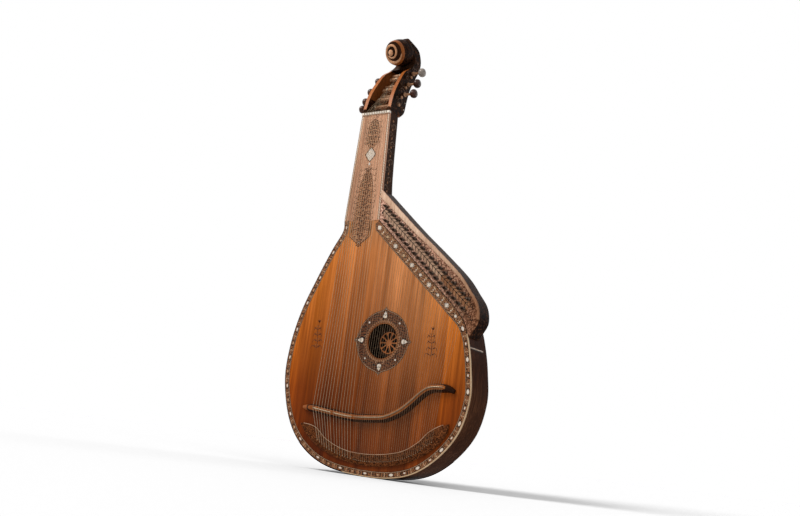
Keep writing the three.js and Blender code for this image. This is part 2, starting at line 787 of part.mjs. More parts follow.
// Head: lofted stem, trough between two cheeks, peg holes and the snail
function makeHead() {
  const rings = [];
  for (let i = 0; i <= head_steps; i++) {
    const share = i / head_steps;
    const corner = head_edge_radius * (1 + share ** head_rounding_power);
    rings.push(headRing(share, 0, 1, 0, corner));
  }
  let head = solid(loft(rings));
  const cuts = [];
  const [from, to] = trough_shares;
  for (let i = 0; i <= trough_steps; i++) {
    const share = THREE.MathUtils.lerp(from, to, i / trough_steps);
    const floorShare = THREE.MathUtils.lerp(trough_root_depth_share, trough_depth_share, Math.min(1, i / 2));
    cuts.push(headRing(share, -cut_overrun, floorShare, cheek_thickness, cheek_thickness / 2));
  }
  head = head.subtract(solid(loft(cuts)));
  head = head.add(makeSnail());
  for (const peg of pegPlaces()) head = head.subtract(pegHole(peg));
  return geometryOf(head);
}

// Outer edge of the wing, from beside the neck round to its tip
const wing_edge = wing_outline_shares.map(([alongShare, acrossShare]) => (
  besideShoulder(alongShare * shoulder_length, acrossShare * wing_width)));

// Pin places: an outer row, and an inner row midway between the strings of the outer one
function pinPlaces() {
  const outer = [];
  const [from, to] = outer_row_shares;
  for (let i = 0; i < outer_pins; i++) {
    const along = THREE.MathUtils.lerp(from, to, i / (outer_pins - 1)) * shoulder_length;
    outer.push({ place: besideShoulder(along, outer_row_distance), order: 2 * i });
  }
  const crossings = outer.map(({ place: pin, order }) => {
    const saddle = treblePlace(order);
    const path = saddle.clone().sub(pin);
    const start = pin.clone().sub(shoulder_top).dot(shoulder_across);
    const fall = path.dot(shoulder_across);
    return pin.clone().addScaledVector(path, (inner_row_distance - start) / fall);
  });
  const inner = [];
  for (let i = 0; i < inner_pins; i++) {
    inner.push({ place: crossings[i].clone().lerp(crossings[i + 1], 0.5), order: 2 * i + 1 });
  }
  return { outer, inner };
}

// Bridge line along the soundboard
const bridge_line = smooth(bridge_line_shares.map(place), bridge_steps);

// Place of a treble string on its saddle
function treblePlace(order) {
  const [from, to] = treble_saddle_shares;
  const margin = 2 * saddle_radius;
  const last = outer_pins + inner_pins - 1;
  const x = THREE.MathUtils.lerp(from * body_width + margin, to * body_width - margin, order / last);
  return new THREE.Vector2(x, lineHeight(bridge_line, x));
}

const pins = pinPlaces();

// Turned form about an axis along Y, from pairs of depth and radius
function turnedAlongY(profile, center, sides) {
  const points = profile.map(([y, radius]) => new THREE.Vector2(radius, y));
  const geometry = new THREE.LatheGeometry(points, sides);
  geometry.translate(center.x, 0, center.y);
  return geometry;
}

// Tuning pin: shank in the block, winding above it and a tapered head for the key
function makePin(center) {
  const low = -(pin_string_height - pin_winding_width / 2);
  const high = -(pin_string_height + pin_winding_width / 2);
  return turnedAlongY([
    [-pin_height, 0], [-pin_height, pin_head_radius], [high, pin_winding_radius],
    [low, pin_radius], [pin_depth, pin_radius], [pin_depth, 0],
  ], center, pin_sides);
}

// Blind hole for a tuning pin
function pinHole(center) {
  const radius = (pin_radius + fit_gap) / Math.cos(Math.PI / pin_sides);
  const bottom = pin_depth + fit_gap;
  return solid(turnedAlongY([[-cut_overrun, 0], [-cut_overrun, radius], [bottom, radius], [bottom, 0]],
    center, pin_sides));
}

// Wing block: outer edge rounded at the back, fitted against the bowl and the neck
function makeWingBlock() {
  const edge = smooth(wing_edge, wing_steps);
  const inside = [besideShoulder(shoulder_length, -wing_width), besideShoulder(0, -wing_width)];
  const outline = [...edge, ...inside];
  const rings = [];
  rings.push(ringAt(outline, 0));
  for (let i = 0; i <= wing_back_steps; i++) {
    const angle = (i / wing_back_steps) * (Math.PI / 2);
    const depth = wing_depth - wing_edge_radius * (1 - Math.sin(angle));
    rings.push(ringAt(inset(outline, wing_edge_radius * (1 - Math.cos(angle))), depth));
  }
  const bowlRoom = inset(body_outline, -fit_gap);
  let block = solid(loft(rings))
    .subtract(solid(loft([ringAt(bowlRoom, -cut_overrun), ringAt(bowlRoom, body_depth)])))
    .subtract(solid(neckBody(fit_gap)))
    .subtract(fingerboardBody(fit_gap));
  for (const pin of pins.outer) block = block.subtract(pinHole(pin.place));
  for (const pin of pins.inner) block = block.add(solid(makePin(pin.place)));
  return geometryOf(block);
}

// Raised wooden strip along the wing's outer edge, narrowing to its tip
function makeWingStrip() {
  const edge = smooth(wing_edge.slice(0, -2), strip_steps);
  const rings = edge.map((point, i) => {
    const before = edge[Math.max(i - 1, 0)];
    const after = edge[Math.min(i + 1, edge.length - 1)];
    const along = after.clone().sub(before).normalize();
    const inward = new THREE.Vector2(along.y, -along.x);
    const width = strip_width * THREE.MathUtils.lerp(1, strip_tip_share, i / (edge.length - 1));
    const at = (distance, height) => {
      const spot = point.clone().addScaledVector(inward, fit_gap + distance);
      return new THREE.Vector3(spot.x, -fit_gap - height, spot.y);
    };
    const round = strip_thickness / 2;
    return [at(0, 0), at(0, round), at(round, strip_thickness), at(width, strip_thickness), at(width, 0)];
  });
  return geometryOf(solid(loft(rings)).subtract(solid(neckBody(fit_gap))));
}

// Bridge: an S-shaped rail on the soundboard, lower and narrower at both ends
function makeBridge() {
  const rings = bridge_line.map((point, i) => {
    const before = bridge_line[Math.max(i - 1, 0)];
    const after = bridge_line[Math.min(i + 1, bridge_line.length - 1)];
    const along = after.clone().sub(before).normalize();
    const across = new THREE.Vector2(-along.y, along.x);
    const share = i / (bridge_line.length - 1);
    const endShare = Math.min(share, 1 - share) / bridge_swell_share;
    const swell = THREE.MathUtils.lerp(bridge_end_share, 1, Math.min(1, endShare));
    const at = (distance, height) => {
      const spot = point.clone().addScaledVector(across, distance * swell);
      return new THREE.Vector3(spot.x, -fit_gap - height * swell, spot.y);
    };
    const base = bridge_base_width / 2;
    const top = bridge_top_width / 2;
    const waist = bridge_height * bridge_waist_share;
    return [
      at(-base, 0), at(-base, waist), at(-top, bridge_height), at(top, bridge_height),
      at(base, waist), at(base, 0),
    ];
  });
  return loft(rings);
}

// Edges of the hitch board along the lower end of the soundboard
const hitch_inner = smooth(hitch_inner_shares.map(place), hitch_steps);
const hitch_outer = smooth(hitch_outer_shares.map(place), hitch_steps);

// Hitch board: a bevelled crescent
function makeHitchBoard() {
  const outline = [...hitch_outer, ...hitch_inner.slice(1, -1).reverse()];
  return loft([
    ringAt(outline, -fit_gap), ringAt(outline, -fit_gap - hitch_thickness + hitch_bevel),
    ringAt(inset(outline, hitch_bevel), -fit_gap - hitch_thickness),
  ]);
}

// Point on the hitch board where the string from a place on its saddle ends
function hitchPoint(x) {
  const spot = x * hitch_spread_share;
  const inner = lineHeight(hitch_inner, spot);
  const outer = lineHeight(hitch_outer, spot);
  return new THREE.Vector3(spot, hitch_y, THREE.MathUtils.lerp(inner, outer, hitch_reach_share));
}

// Strings fused with the metal saddle that carries them
function makeStringSet(span, routes) {
  const [from, to] = span.map((share) => share * body_width);
  const saddlePoints = [];
  for (let i = 0; i <= saddle_steps; i++) {
    const x = THREE.MathUtils.lerp(from, to, i / saddle_steps);
    saddlePoints.push(new THREE.Vector3(x, saddle_y, lineHeight(bridge_line, x)));
  }
  let set = solid(tube(saddlePoints, saddlePoints.map(() => saddle_radius), saddle_sides));
  for (const route of routes) {
    set = set.add(solid(tube(route, route.map(() => string_radius), string_sides)));
  }
  return geometryOf(set);
}

// Route of a neck string: peg winding, nut, saddle, hitch board
function neckStringRoute(index, x) {
  const last = 2 * neck_string_pairs - 1;
  const pegIndex = Math.min(index, last - index);
  const peg = pegPlaces()[pegIndex];
  const side = index < neck_string_pairs ? -1 : 1;
  const nutY = -nut_height - string_radius - fit_gap;
  const nutTop = new THREE.Vector3(nutStringX(index), nutY, neck_head_z + fit_gap);
  const nutFoot = new THREE.Vector3(nutStringX(index), nutY, neck_head_z - nut_length);
  const path = new THREE.Vector2(peg.depth - nutTop.y, peg.height - nutTop.z).normalize();
  const reach = peg_winding_radius + fit_gap + string_radius;
  const windingX = neck_x + side * windingOffset(pegIndex);
  const winding = new THREE.Vector3(windingX, peg.depth - path.y * reach, peg.height + path.x * reach);
  const saddle = new THREE.Vector3(x, string_bridge_y, lineHeight(bridge_line, x));
  return [winding, nutTop, nutFoot, saddle, hitchPoint(x)];
}

// Neck strings on one saddle, counted from the left
function makeNeckStrings(span, firstIndex) {
  const routes = [];
  const margin = 2 * saddle_radius;
  const [from, to] = span.map((share) => share * body_width);
  for (let i = 0; i < neck_string_pairs; i++) {
    const x = THREE.MathUtils.lerp(from + margin, to - margin, i / (neck_string_pairs - 1));
    routes.push(neckStringRoute(firstIndex + i, x));
  }
  return makeStringSet(span, routes);
}

// Treble strings: tuning pin, saddle, hitch board
function makeTrebleStrings() {
  const routes = [...pins.outer, ...pins.inner].map(({ place: pin, order }) => {
    const saddle = treblePlace(order);
    const path = saddle.clone().sub(pin).normalize();
    const reach = pin_winding_radius + fit_gap + string_radius;
    const start = pin.clone().addScaledVector(path, reach);
    return [
      new THREE.Vector3(start.x, -pin_string_height, start.y),
      new THREE.Vector3(saddle.x, string_bridge_y, saddle.y),
      hitchPoint(saddle.x),
    ];
  });
  return makeStringSet(treble_saddle_shares, routes);
}

// Finishes
const finishes = {
  carved_wood: new THREE.MeshStandardMaterial({ color: 0x2c1c15, roughness: 0.35, metalness: 0 }),
  board_wood: new THREE.MeshStandardMaterial({ color: 0x9a5a2a, roughness: 0.45, metalness: 0 }),
  inlay: new THREE.MeshStandardMaterial({ color: 0x6b4a33, roughness: 0.4, metalness: 0 }),
  neck_wood: new THREE.MeshStandardMaterial({ color: 0x3a2317, roughness: 0.35, metalness: 0 }),
  strip_wood: new THREE.MeshStandardMaterial({ color: 0xb07a48, roughness: 0.5, metalness: 0 }),
  brace_wood: new THREE.MeshStandardMaterial({ color: 0xc9a26a, roughness: 0.7, metalness: 0 }),
  rose_wood: new THREE.MeshStandardMaterial({ color: 0xa5642f, roughness: 0.55, metalness: 0 }),
  bone: new THREE.MeshStandardMaterial({ color: 0xe6dcc6, roughness: 0.4, metalness: 0 }),
  steel: new THREE.MeshStandardMaterial({ color: 0xb9b4aa, roughness: 0.3, metalness: 1 }),
};

const bandura = new THREE.Group();
bandura.name = 'bandura';

// Adds one named sub-part to the bandura
function addPart(name, geometry, finish) {
  const part = new THREE.Mesh(geometry, finish);
  part.name = name;
  bandura.add(part);
}

// Assembly
addPart('body_shell', makeBodyShell(), finishes.carved_wood);
addPart('soundboard', makeSoundboard(), finishes.board_wood);
addPart('edge_border', makeBorder(), finishes.inlay);
addPart('sound_hole_rosette', makeRosette(), finishes.inlay);
brace_heights.forEach((height, i) => {
  addPart(`brace_${i + 1}`, makeBrace(height), finishes.brace_wood);
});
addPart('rose_board', makeRose(), finishes.rose_wood);
addPart('neck', neckBody(0), finishes.neck_wood);
addPart('fingerboard', makeFingerboard(), finishes.inlay);
addPart('nut', makeNut(), finishes.bone);
addPart('head', makeHead(), finishes.carved_wood);
addPart('wing_block', makeWingBlock(), finishes.inlay);
addPart('wing_edge_strip', makeWingStrip(), finishes.strip_wood);
addPart('bridge', makeBridge(), finishes.carved_wood);
addPart('hitch_board', makeHitchBoard(), finishes.inlay);
addPart('bass_strings', makeNeckStrings(bass_saddle_shares, 0), finishes.steel);
addPart('tenor_strings', makeNeckStrings(tenor_saddle_shares, neck_string_pairs), finishes.steel);
addPart('treble_strings', makeTrebleStrings(), finishes.steel);
for (const peg of pegPlaces()) {
  addPart(`peg_${peg.index + 1}`, makePeg(peg), finishes.carved_wood);
}
pins.outer.forEach(({ place: center }, i) => {
  addPart(`tuning_pin_${i + 1}`, makePin(center), finishes.steel);
});

// The origin lies under the middle of the box round the whole bandura
const bounds = new THREE.Box3().setFromObject(bandura);
const middle = bounds.getCenter(new THREE.Vector3());
bandura.position.set(-middle.x, -middle.y, -bounds.min.z);

export default bandura;
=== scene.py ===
import math
import random

import bmesh
import bpy
from mathutils import Matrix, Vector
from mathutils.geometry import tessellate_polygon


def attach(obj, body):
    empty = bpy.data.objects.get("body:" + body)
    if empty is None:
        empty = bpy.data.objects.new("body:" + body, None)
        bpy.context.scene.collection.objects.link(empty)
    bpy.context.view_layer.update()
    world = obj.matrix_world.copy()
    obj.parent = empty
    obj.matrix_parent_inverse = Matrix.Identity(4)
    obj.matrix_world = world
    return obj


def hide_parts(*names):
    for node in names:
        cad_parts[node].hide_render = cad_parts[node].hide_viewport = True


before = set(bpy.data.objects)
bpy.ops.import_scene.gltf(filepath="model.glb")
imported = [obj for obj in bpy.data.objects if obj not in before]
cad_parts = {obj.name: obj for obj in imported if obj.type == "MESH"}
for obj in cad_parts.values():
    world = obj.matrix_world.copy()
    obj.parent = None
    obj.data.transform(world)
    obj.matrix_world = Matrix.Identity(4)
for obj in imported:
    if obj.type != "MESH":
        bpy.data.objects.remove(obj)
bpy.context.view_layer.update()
random.seed(7)

# Sizes in millimetres: x from the sound hole's axis, y behind the soundboard's front, z up from the bowl
ORIGIN = Vector((12.3477, -50.0987, 0.0611))
GAP = 0.3
WIDTH, LENGTH, DEPTH, WALL, EDGE_RADIUS = 466.0, 537.0, 82.0, 6.5, 12.0
BOARD_BACK, BOWL_FRONT, NECK_FRONT = 4.0, 4.2, 4.3
BORDER_WIDTH, SHOULDER_BORDER_WIDTH, SHOULDER_FOOT = 11.0, 19.0, 0.54 * LENGTH
HOLE, HOLE_RADIUS = Vector((0, 0.5121 * LENGTH)), 37.0
NECK_X, NECK_LENGTH = -0.2017 * WIDTH, 253.0
NECK_TOP = LENGTH + NECK_LENGTH
FOOT_WIDTH, HEAD_WIDTH, TIP_WIDTH = 94.0, 75.0, 52.0
NECK_HEAD_DEPTH, NECK_HEEL_DEPTH, NECK_FULLNESS = 39.0, 58.0, 0.32
HEAD_HEIGHT, HEAD_DEPTH = 207.0, 117.0
SNAIL_RADIUS, SNAIL_LENGTH, SNAIL_TILT = 31.0, 68.0, math.radians(25)
WING_WIDTH, WING_DEPTH, WING_EDGE_RADIUS = 52.0, 46.0, 7
OUTER_PINS, INNER_PINS, OUTER_ROW, INNER_ROW = 20, 19, 32.0, 11.0
PAIRS, STRING_STEP, TROUGH_SPREAD = 7, 4.6, 0.84
NUT_LENGTH, NUT_STRING_Y, PIN_STRING_Y, SADDLE_STRING_Y, HITCH_STRING_Y = 5, -4.15, -6.5, -16.5, -5.05
SADDLE_Y, SADDLE_MARGIN, SADDLE_RADIUS, KNOT_RADIUS = -14.9, 2.8, 1.35, 1.0
BRACE_HEIGHT = 22
UP = Vector((0, 1))

# Outlines on the soundboard, as shares of the bowl's width and length
BOWL = [(-0.353, 0.8774), (-0.4206, 0.7542), (-0.4857, 0.6182), (-0.523, 0.473), (-0.5236, 0.3315),
        (-0.4625, 0.1769), (-0.356, 0.0745), (-0.198, 0.0155), (0.0322, 0), (0.205, 0.022),
        (0.334, 0.089), (0.4313, 0.192), (0.47, 0.3166), (0.4592, 0.4283), (0.4356, 0.5233),
        (0.4034, 0.5978), (0.3305, 0.6667)]
BRIDGE = [(-0.384, 0.235), (-0.313, 0.233), (-0.204, 0.222), (-0.088, 0.214), (0.036, 0.22), (0.09, 0.229),
          (0.155, 0.257), (0.204, 0.291), (0.245, 0.324), (0.288, 0.346), (0.358, 0.35), (0.399, 0.339)]
HITCH_IN = [(-0.391, 0.171), (-0.303, 0.16), (-0.223, 0.115), (-0.107, 0.084), (0.036, 0.082), (0.17, 0.104),
            (0.251, 0.145), (0.292, 0.181), (0.339, 0.207), (0.386, 0.222)]
HITCH_OUT = [(-0.391, 0.171), (-0.341, 0.127), (-0.273, 0.089), (-0.176, 0.058), (-0.056, 0.041),
             (0.043, 0.041), (0.146, 0.054), (0.24, 0.082), (0.33, 0.132), (0.38, 0.184), (0.386, 0.222)]
SADDLES = {"bass": (-0.313, -0.203), "tenor": (-0.195, -0.086), "treble": (-0.08, 0.358)}

# Wing outline as shares of the shoulder's length and of the wing's width
WING = [(-0.205, 0.96), (0.301, 0.954), (0.608, 1.006), (0.889, 1.02), (1.054, 0.898), (1.178, 0.755),
        (1.268, 0.388), (1.295, -0.092), (1.301, -0.383)]

# Side view of the head as shares of its depth and height, its width, and the pegs' places in it
HEAD_FRONT = [(0, 0), (0.009, 0.063), (0.043, 0.164), (0.12, 0.285), (0.239, 0.411), (0.393, 0.546),
              (0.598, 0.643), (0.744, 0.736), (0.761, 0.797), (0.692, 0.845), (0.564, 0.885)]
HEAD_BACK = [(0.38, 0.005), (0.496, 0.077), (0.538, 0.198), (0.607, 0.353), (0.709, 0.478), (0.838, 0.589),
             (0.94, 0.686), (0.9975, 0.778), (0.983, 0.866), (0.88, 0.953), (0.556, 1.011)]
HEAD_WIDTHS = [1, 0.99, 0.95, 0.85, 0.7, 0.5, 0.3, 0.12, 0, -0.1, -0.4]
PEGS = [(0.152, 0.48), (0.232, 0.53), (0.262, 0.66), (0.332, 0.59), (0.37, 0.64), (0.468, 0.59),
        (0.518, 0.55)]
PEG_SIDES = [-1, -1, 1, -1, 1, -1, 1]

# Neck depth from the heel to the head, as shares between its two depths
NECK_DEPTHS = [(0, 1), (0.08, 0.93), (0.17, 0.74), (0.27, 0.42), (0.38, 0.22), (0.6, 0.1), (1, 0)]


# Geometry helpers
def lerp(a, b, t):
    return a + (b - a) * t


def clamp(v, low=0.0, high=1.0):
    return max(low, min(high, v))


def around(steps, offset=0.0):
    """Equally spaced angles round a full turn."""
    return [(k + offset) / steps * math.tau for k in range(steps)]


def quarter(steps):
    """Quarter of a circle: pairs of the distance inwards and the height."""
    angles = [k / steps * math.pi / 2 for k in range(steps + 1)]
    return [(1 - math.cos(a), math.sin(a)) for a in angles]


def powered(v, power):
    """Power of a number that keeps its sign."""
    return math.copysign(abs(v) ** power, v)


def polar(angle):
    return Vector((math.cos(angle), math.sin(angle)))


def heading_of(along):
    return math.atan2(along.y, along.x)


def left_of(along):
    return Vector((-along.y, along.x))


def turned_by(along, angle):
    return Vector((along.x * math.cos(angle) - along.y * math.sin(angle),
                   along.x * math.sin(angle) + along.y * math.cos(angle)))


def flat(points):
    """Places on the soundboard from shares of the bowl's width and length."""
    return [Vector((x * WIDTH, z * LENGTH)) for x, z in points]


def at_depth(p, depth=-0.1):
    """A place on the soundboard's plane, moved to a depth behind it or, where negative, before it."""
    return Vector((p.x, depth, p.y))


def ring_at(line, depth):
    return [at_depth(p, depth) for p in line]


def curve_between(pts, i, t):
    """Point of a smooth curve through points, at a share of the way from one to the next."""
    a, b, c, d = pts[max(i - 1, 0)], pts[i], pts[i + 1], pts[min(i + 2, len(pts) - 1)]
    u, v = (c - a) * 0.5, (d - b) * 0.5
    return (b * 2 - c * 2 + u + v) * t ** 3 + (c * 3 - b * 3 - u * 2 - v) * t ** 2 + u * t + b


def spline(points, steps):
    """Points at equal steps along a smooth curve through the given ones."""
    pts = [Vector(p) for p in points]
    dense = [curve_between(pts, i, k / 20) for i in range(len(pts) - 1) for k in range(20)]
    return spaced([*dense, pts[-1]], steps)


def spaced(line, steps):
    """The same line with its points at equal distances."""
    marks = [0.0]
    for a, b in zip(line, line[1:]):
        marks.append(marks[-1] + (b - a).length)
    out, i = [], 0
    for k in range(steps + 1):
        s = marks[-1] * k / steps
        while i < len(marks) - 2 and marks[i + 1] < s:
            i += 1
        span = marks[i + 1] - marks[i]
        out.append(line[i].lerp(line[i + 1], (s - marks[i]) / span if span else 0.0))
    return out


def inwards(line, distance, closed=False):
    """Line moved to its left by a distance, or by one for each point."""
    n = len(line)
    out = []
    for i, p in enumerate(line):
        before = line[(i - 1) % n] if closed or i else None
        after = line[(i + 1) % n] if closed or i < n - 1 else None
        first = (p - before).normalized() if before is not None else (after - p).normalized()
        second = (after - p).normalized() if after is not None else first
        a, b = left_of(first), left_of(second)
        d = distance[i] if isinstance(distance, list) else distance
        out.append(p + (a + b) / (1 + a.dot(b)) * d)
    return out


def value_at(line, x):
    """Second value of a line of pairs where the first one is x."""
    for (ax, ay), (bx, by) in zip(line, line[1:]):
        if ax <= x <= bx:
            return lerp(ay, by, (x - ax) / (bx - ax))
    return line[0][1] if x < line[0][0] else line[-1][1]


def nearest(line, p):
    """Index of the point of a line that lies nearest to another one."""
    return min(range(len(line)), key=lambda k: (line[k] - p).length)


def within(p, line):
    """Whether a point lies inside a closed line."""
    inside = False
    for a, b in zip(line, line[1:] + line[:1]):
        if (a.y > p.y) != (b.y > p.y) and p.x < lerp(a.x, b.x, (p.y - a.y) / (b.y - a.y)):
            inside = not inside
    return inside


def middle_of(points):
    return sum(points, Vector()) / len(points)


def link(obj):
    bpy.context.scene.collection.objects.link(obj)
    return obj


class Solid:
    """Closed bodies gathered into one piece; a face's mark is the number of its material."""

    def __init__(self):
        self.verts, self.faces, self.marks = [], [], []

    def add(self, verts, faces, mark=0):
        base = len(self.verts)
        self.verts += [Vector(v) for v in verts]
        self.faces += [[base + i for i in face] for face in faces]
        self.marks += [mark] * len(faces)

    def loft(self, rings, mark=0):
        """Body through rings with the same number of points."""
        n = len(rings[0])
        faces = []
        for r in range(len(rings) - 1):
            low, high = r * n, (r + 1) * n
            faces += [[low + i, low + (i + 1) % n, high + (i + 1) % n, high + i] for i in range(n)]
        faces += [list(range(n))[::-1], [(len(rings) - 1) * n + i for i in range(n)]]
        self.add([p for ring in rings for p in ring], faces, mark)

    def slab(self, outline, front, back, holes=(), mark=0):
        """Plate between two depths, with its outline and holes on the soundboard's plane."""
        loops = [outline, *holes]
        points = [p for loop in loops for p in loop]
        n = len(points)
        tris = tessellate_polygon([[Vector((p.x, p.y, 0)) for p in loop] for loop in loops])
        faces = [list(t) for t in tris] + [[i + n for i in reversed(t)] for t in tris]
        start = 0
        for loop in loops:
            m = len(loop)
            faces += [[start + i, start + (i + 1) % m, n + start + (i + 1) % m, n + start + i]
                      for i in range(m)]
            start += m
        self.add(ring_at(points, front) + ring_at(points, back), faces, mark)

    def tube(self, points, radii, sides, mark=0, squash=1.0, normal=None):
        """Tube through points; with a normal, its section is squashed along it."""
        side = None
        rings = []
        for i, p in enumerate(points):
            along = (points[min(i + 1, len(points) - 1)] - points[max(i - 1, 0)]).normalized()
            if normal:
                rise = Vector(normal)
                rise = (rise - along * rise.dot(along)).normalized()
                across = along.cross(rise)
            else:
                if side is None:
                    side = Vector((0, 0, 1)) if abs(along.x) > 0.7 else Vector((1, 0, 0))
                side = (side - along * side.dot(along)).normalized()
                across, rise = side, along.cross(side)
            r = radii[i] if isinstance(radii, list) else radii
            rings.append([p + across * (r * math.cos(a)) + rise * (r * squash * math.sin(a))
                          for a in around(sides, 0.5)])
        self.loft(rings, mark)

    def turned(self, profile, centre, axis, sides, marks=()):
        """Revolved form about a level axis, from pairs of place along it and radius."""
        side = Vector((0, 0, 1))
        rise = axis.cross(side)
        first = len(self.faces)
        steps = [(place, max(r, 0.02)) for place, r in profile]
        self.loft([[centre + axis * place + side * (r * math.cos(a)) + rise * (r * math.sin(a))
                    for a in around(sides)] for place, r in steps])
        for row, mark in enumerate(marks[:len(profile) - 1]):
            self.marks[first + row * sides:first + (row + 1) * sides] = [mark] * sides

    def ball(self, centre, radius, mark=0, rings=5, sides=10, stretch=(1, 1, 1)):
        wide, deep, tall = (radius * v for v in stretch)
        rows = []
        for i in range(rings + 1):
            a = math.pi * i / rings
            r = max(math.sin(a), 0.01)
            y = -deep * math.cos(a)
            rows.append([centre + Vector((wide * r * math.cos(b), y, tall * r * math.sin(b)))
                         for b in around(sides)])
        self.loft(rows, mark)

    def mark_faces(self, rule):
        """Gives every face with mark 0 the mark that a rule finds from its points."""
        self.marks = [mark or rule([self.verts[k] for k in face])
                      for face, mark in zip(self.faces, self.marks)]

    def object(self, name, scale=1.0, shift=Vector()):
        """Mesh object with its faces turned outwards."""
        mesh = bpy.data.meshes.new(name)
        mesh.from_pydata([(v + shift) * scale for v in self.verts], [], self.faces)
        shell = bmesh.new()
        shell.from_mesh(mesh)
        bmesh.ops.recalc_face_normals(shell, faces=shell.faces)
        shell.to_mesh(mesh)
        shell.free()
        return link(bpy.data.objects.new(name, mesh))

    def make(self, name, materials, slot, body="frame", replaces=None, smooth=40):
        """Finished piece in metres; edges sharper than the angle in smooth stay sharp."""
        obj = self.object(name, 0.001, ORIGIN)
        mesh = obj.data
        for material in materials:
            mesh.materials.append(material)
        mesh.polygons.foreach_set("material_index", self.marks)
        mesh.polygons.foreach_set("use_smooth", [smooth > 0] * len(mesh.polygons))
        if smooth:
            mesh.set_sharp_from_angle(angle=math.radians(smooth))
        mesh.update()
        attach(obj, body)
        if replaces:
            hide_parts(replaces)

    def minus(self, tool):
        """This body with another one cut out of it."""
        raw, cutter = self.object("raw"), tool.object("cutter")
        modifier = raw.modifiers.new("cut", "BOOLEAN")
        modifier.object, modifier.operation, modifier.solver = cutter, "DIFFERENCE", "EXACT"
        done = raw.evaluated_get(bpy.context.evaluated_depsgraph_get())
        mesh = done.to_mesh()
        result = Solid()
        result.add([v.co.copy() for v in mesh.vertices], [list(f.vertices) for f in mesh.polygons])
        done.to_mesh_clear()
        for obj in (raw, cutter):
            mesh = obj.data
            bpy.data.objects.remove(obj)
            bpy.data.meshes.remove(mesh)
        return result


# Materials
class Nodes:
    """Short calls for the nodes of a material or world."""

    def __init__(self, owner):
        owner.use_nodes = True
        self.tree = owner.node_tree

    def feed(self, node, values):
        """Links the inputs of a node to other nodes, or sets their values."""
        for key, value in values.items():
            if isinstance(value, bpy.types.NodeSocket):
                self.tree.links.new(value, node.inputs[key])
            else:
                node.inputs[key].default_value = value

    def node(self, kind, inputs=None, **props):
        node = self.tree.nodes.new("ShaderNode" + kind)
        for key, value in props.items():
            setattr(node, key, value)
        self.feed(node, inputs or {})
        return node

    def math(self, operation, a, b=0.0):
        return self.node("Math", {0: a, 1: b}, operation=operation).outputs[0]


class Paint(Nodes):
    """A principled material."""

    def __init__(self, name, rough=0.5, metal=0.0, specular=0.5, base=(0.5, 0.5, 0.5)):
        self.material = bpy.data.materials.new(name)
        super().__init__(self.material)
        self.shader = self.tree.nodes["Principled BSDF"]
        self.feed(self.shader, {"Base Color": (*base, 1), "Roughness": rough, "Metallic": metal,
                                "Specular IOR Level": specular})
        self.place = self.node("TexCoord").outputs["Object"]

    def scaled(self, scale, times=1.0):
        """Place in the object, stretched along each axis."""
        scale = scale if isinstance(scale, tuple) else (scale,) * 3
        return self.node("Mapping", {"Vector": self.place, "Scale": [v * times for v in scale]}).outputs[0]

    def noise(self, scale, detail, rough=0.55, distortion=0.0, times=1.0):
        return self.node("TexNoise", {"Vector": self.scaled(scale, times), "Scale": 1.0, "Detail": detail,
                                      "Roughness": rough, "Distortion": distortion}).outputs["Fac"]

    def ramp(self, value, *stops):
        """Colour or grey from a value, between stops of place and colour."""
        node = self.node("ValToRGB", {"Fac": value})
        elements = node.color_ramp.elements
        while len(elements) < len(stops):
            elements.new(0.5)
        for element, (at, colour) in zip(elements, stops):
            element.position = at
            element.color = (*(colour if isinstance(colour, tuple) else (colour,) * 3), 1)
        return node.outputs["Color"]

    def mix(self, factor, a, b, mode="MIX"):
        a, b = (v if isinstance(v, bpy.types.NodeSocket) else (*v, 1) for v in (a, b))
        return self.node("Mix", {0: factor, 6: a, 7: b}, data_type="RGBA", blend_type=mode).outputs[2]

    def multiplied(self, colour, layer, amount=1.0):
        return self.mix(amount, colour, layer, "MULTIPLY")

    def add(self, a, b):
        return self.math("ADD", a, b)

    def times(self, a, b):
        return self.math("MULTIPLY", a, b)

    def axis(self, which):
        return self.node("SeparateXYZ", {"Vector": self.place}).outputs[which]

    def with_painted_light(self, colour, painted_light):
        """Colour multiplied by a ramp along one axis of the object, where painted light is given: a painted
        highlight, sheen, reflection or shade laid on by place.
        """
        if not painted_light:
            return colour
        which, *stops = painted_light
        return self.multiplied(colour, self.ramp(self.times(self.axis(which), 4.0), *stops))

    def finish(self, colour, grain, rough, height, strength, distance):
        """Material with its colour, a roughness that follows the grain, and a bump."""
        between = self.node("MapRange", {"Value": grain, "To Min": rough[0], "To Max": rough[1]})
        bump = self.node("Bump", {"Height": height, "Strength": strength, "Distance": distance})
        self.feed(self.shader, {"Base Color": colour, "Roughness": between.outputs[0],
                                "Normal": bump.outputs[0]})
        return self.material


def srgb(r, g, b):
    """A colour as written on a screen, from 0 to 255."""
    return tuple((v / 255 / 12.92) if v <= 10 else ((v / 255 + 0.055) / 1.055) ** 2.4 for v in (r, g, b))


def wood(name, dark, mid, light, grain, rough, gloss=0.12, bump=0.25, painted_light=None):
    """Plain wood with long fibres, pores and slow changes of colour."""
    p = Paint(name, specular=gloss)
    fibre = p.noise(grain, 6.0, 0.62)
    slow = p.noise(grain, 3.0, times=1 / 22)
    tone = p.ramp(p.add(p.times(fibre, 0.55), p.times(slow, 0.45)),
                  (0.3, srgb(*dark)), (0.5, srgb(*mid)), (0.7, srgb(*light)))
    pores = p.ramp(p.noise(grain, 2.0, times=3), (0.36, 0.55), (0.46, 1.0))
    colour = p.with_painted_light(p.multiplied(tone, pores, 0.6), painted_light)
    return p.finish(colour, fibre, rough, fibre, bump, 0.0002)


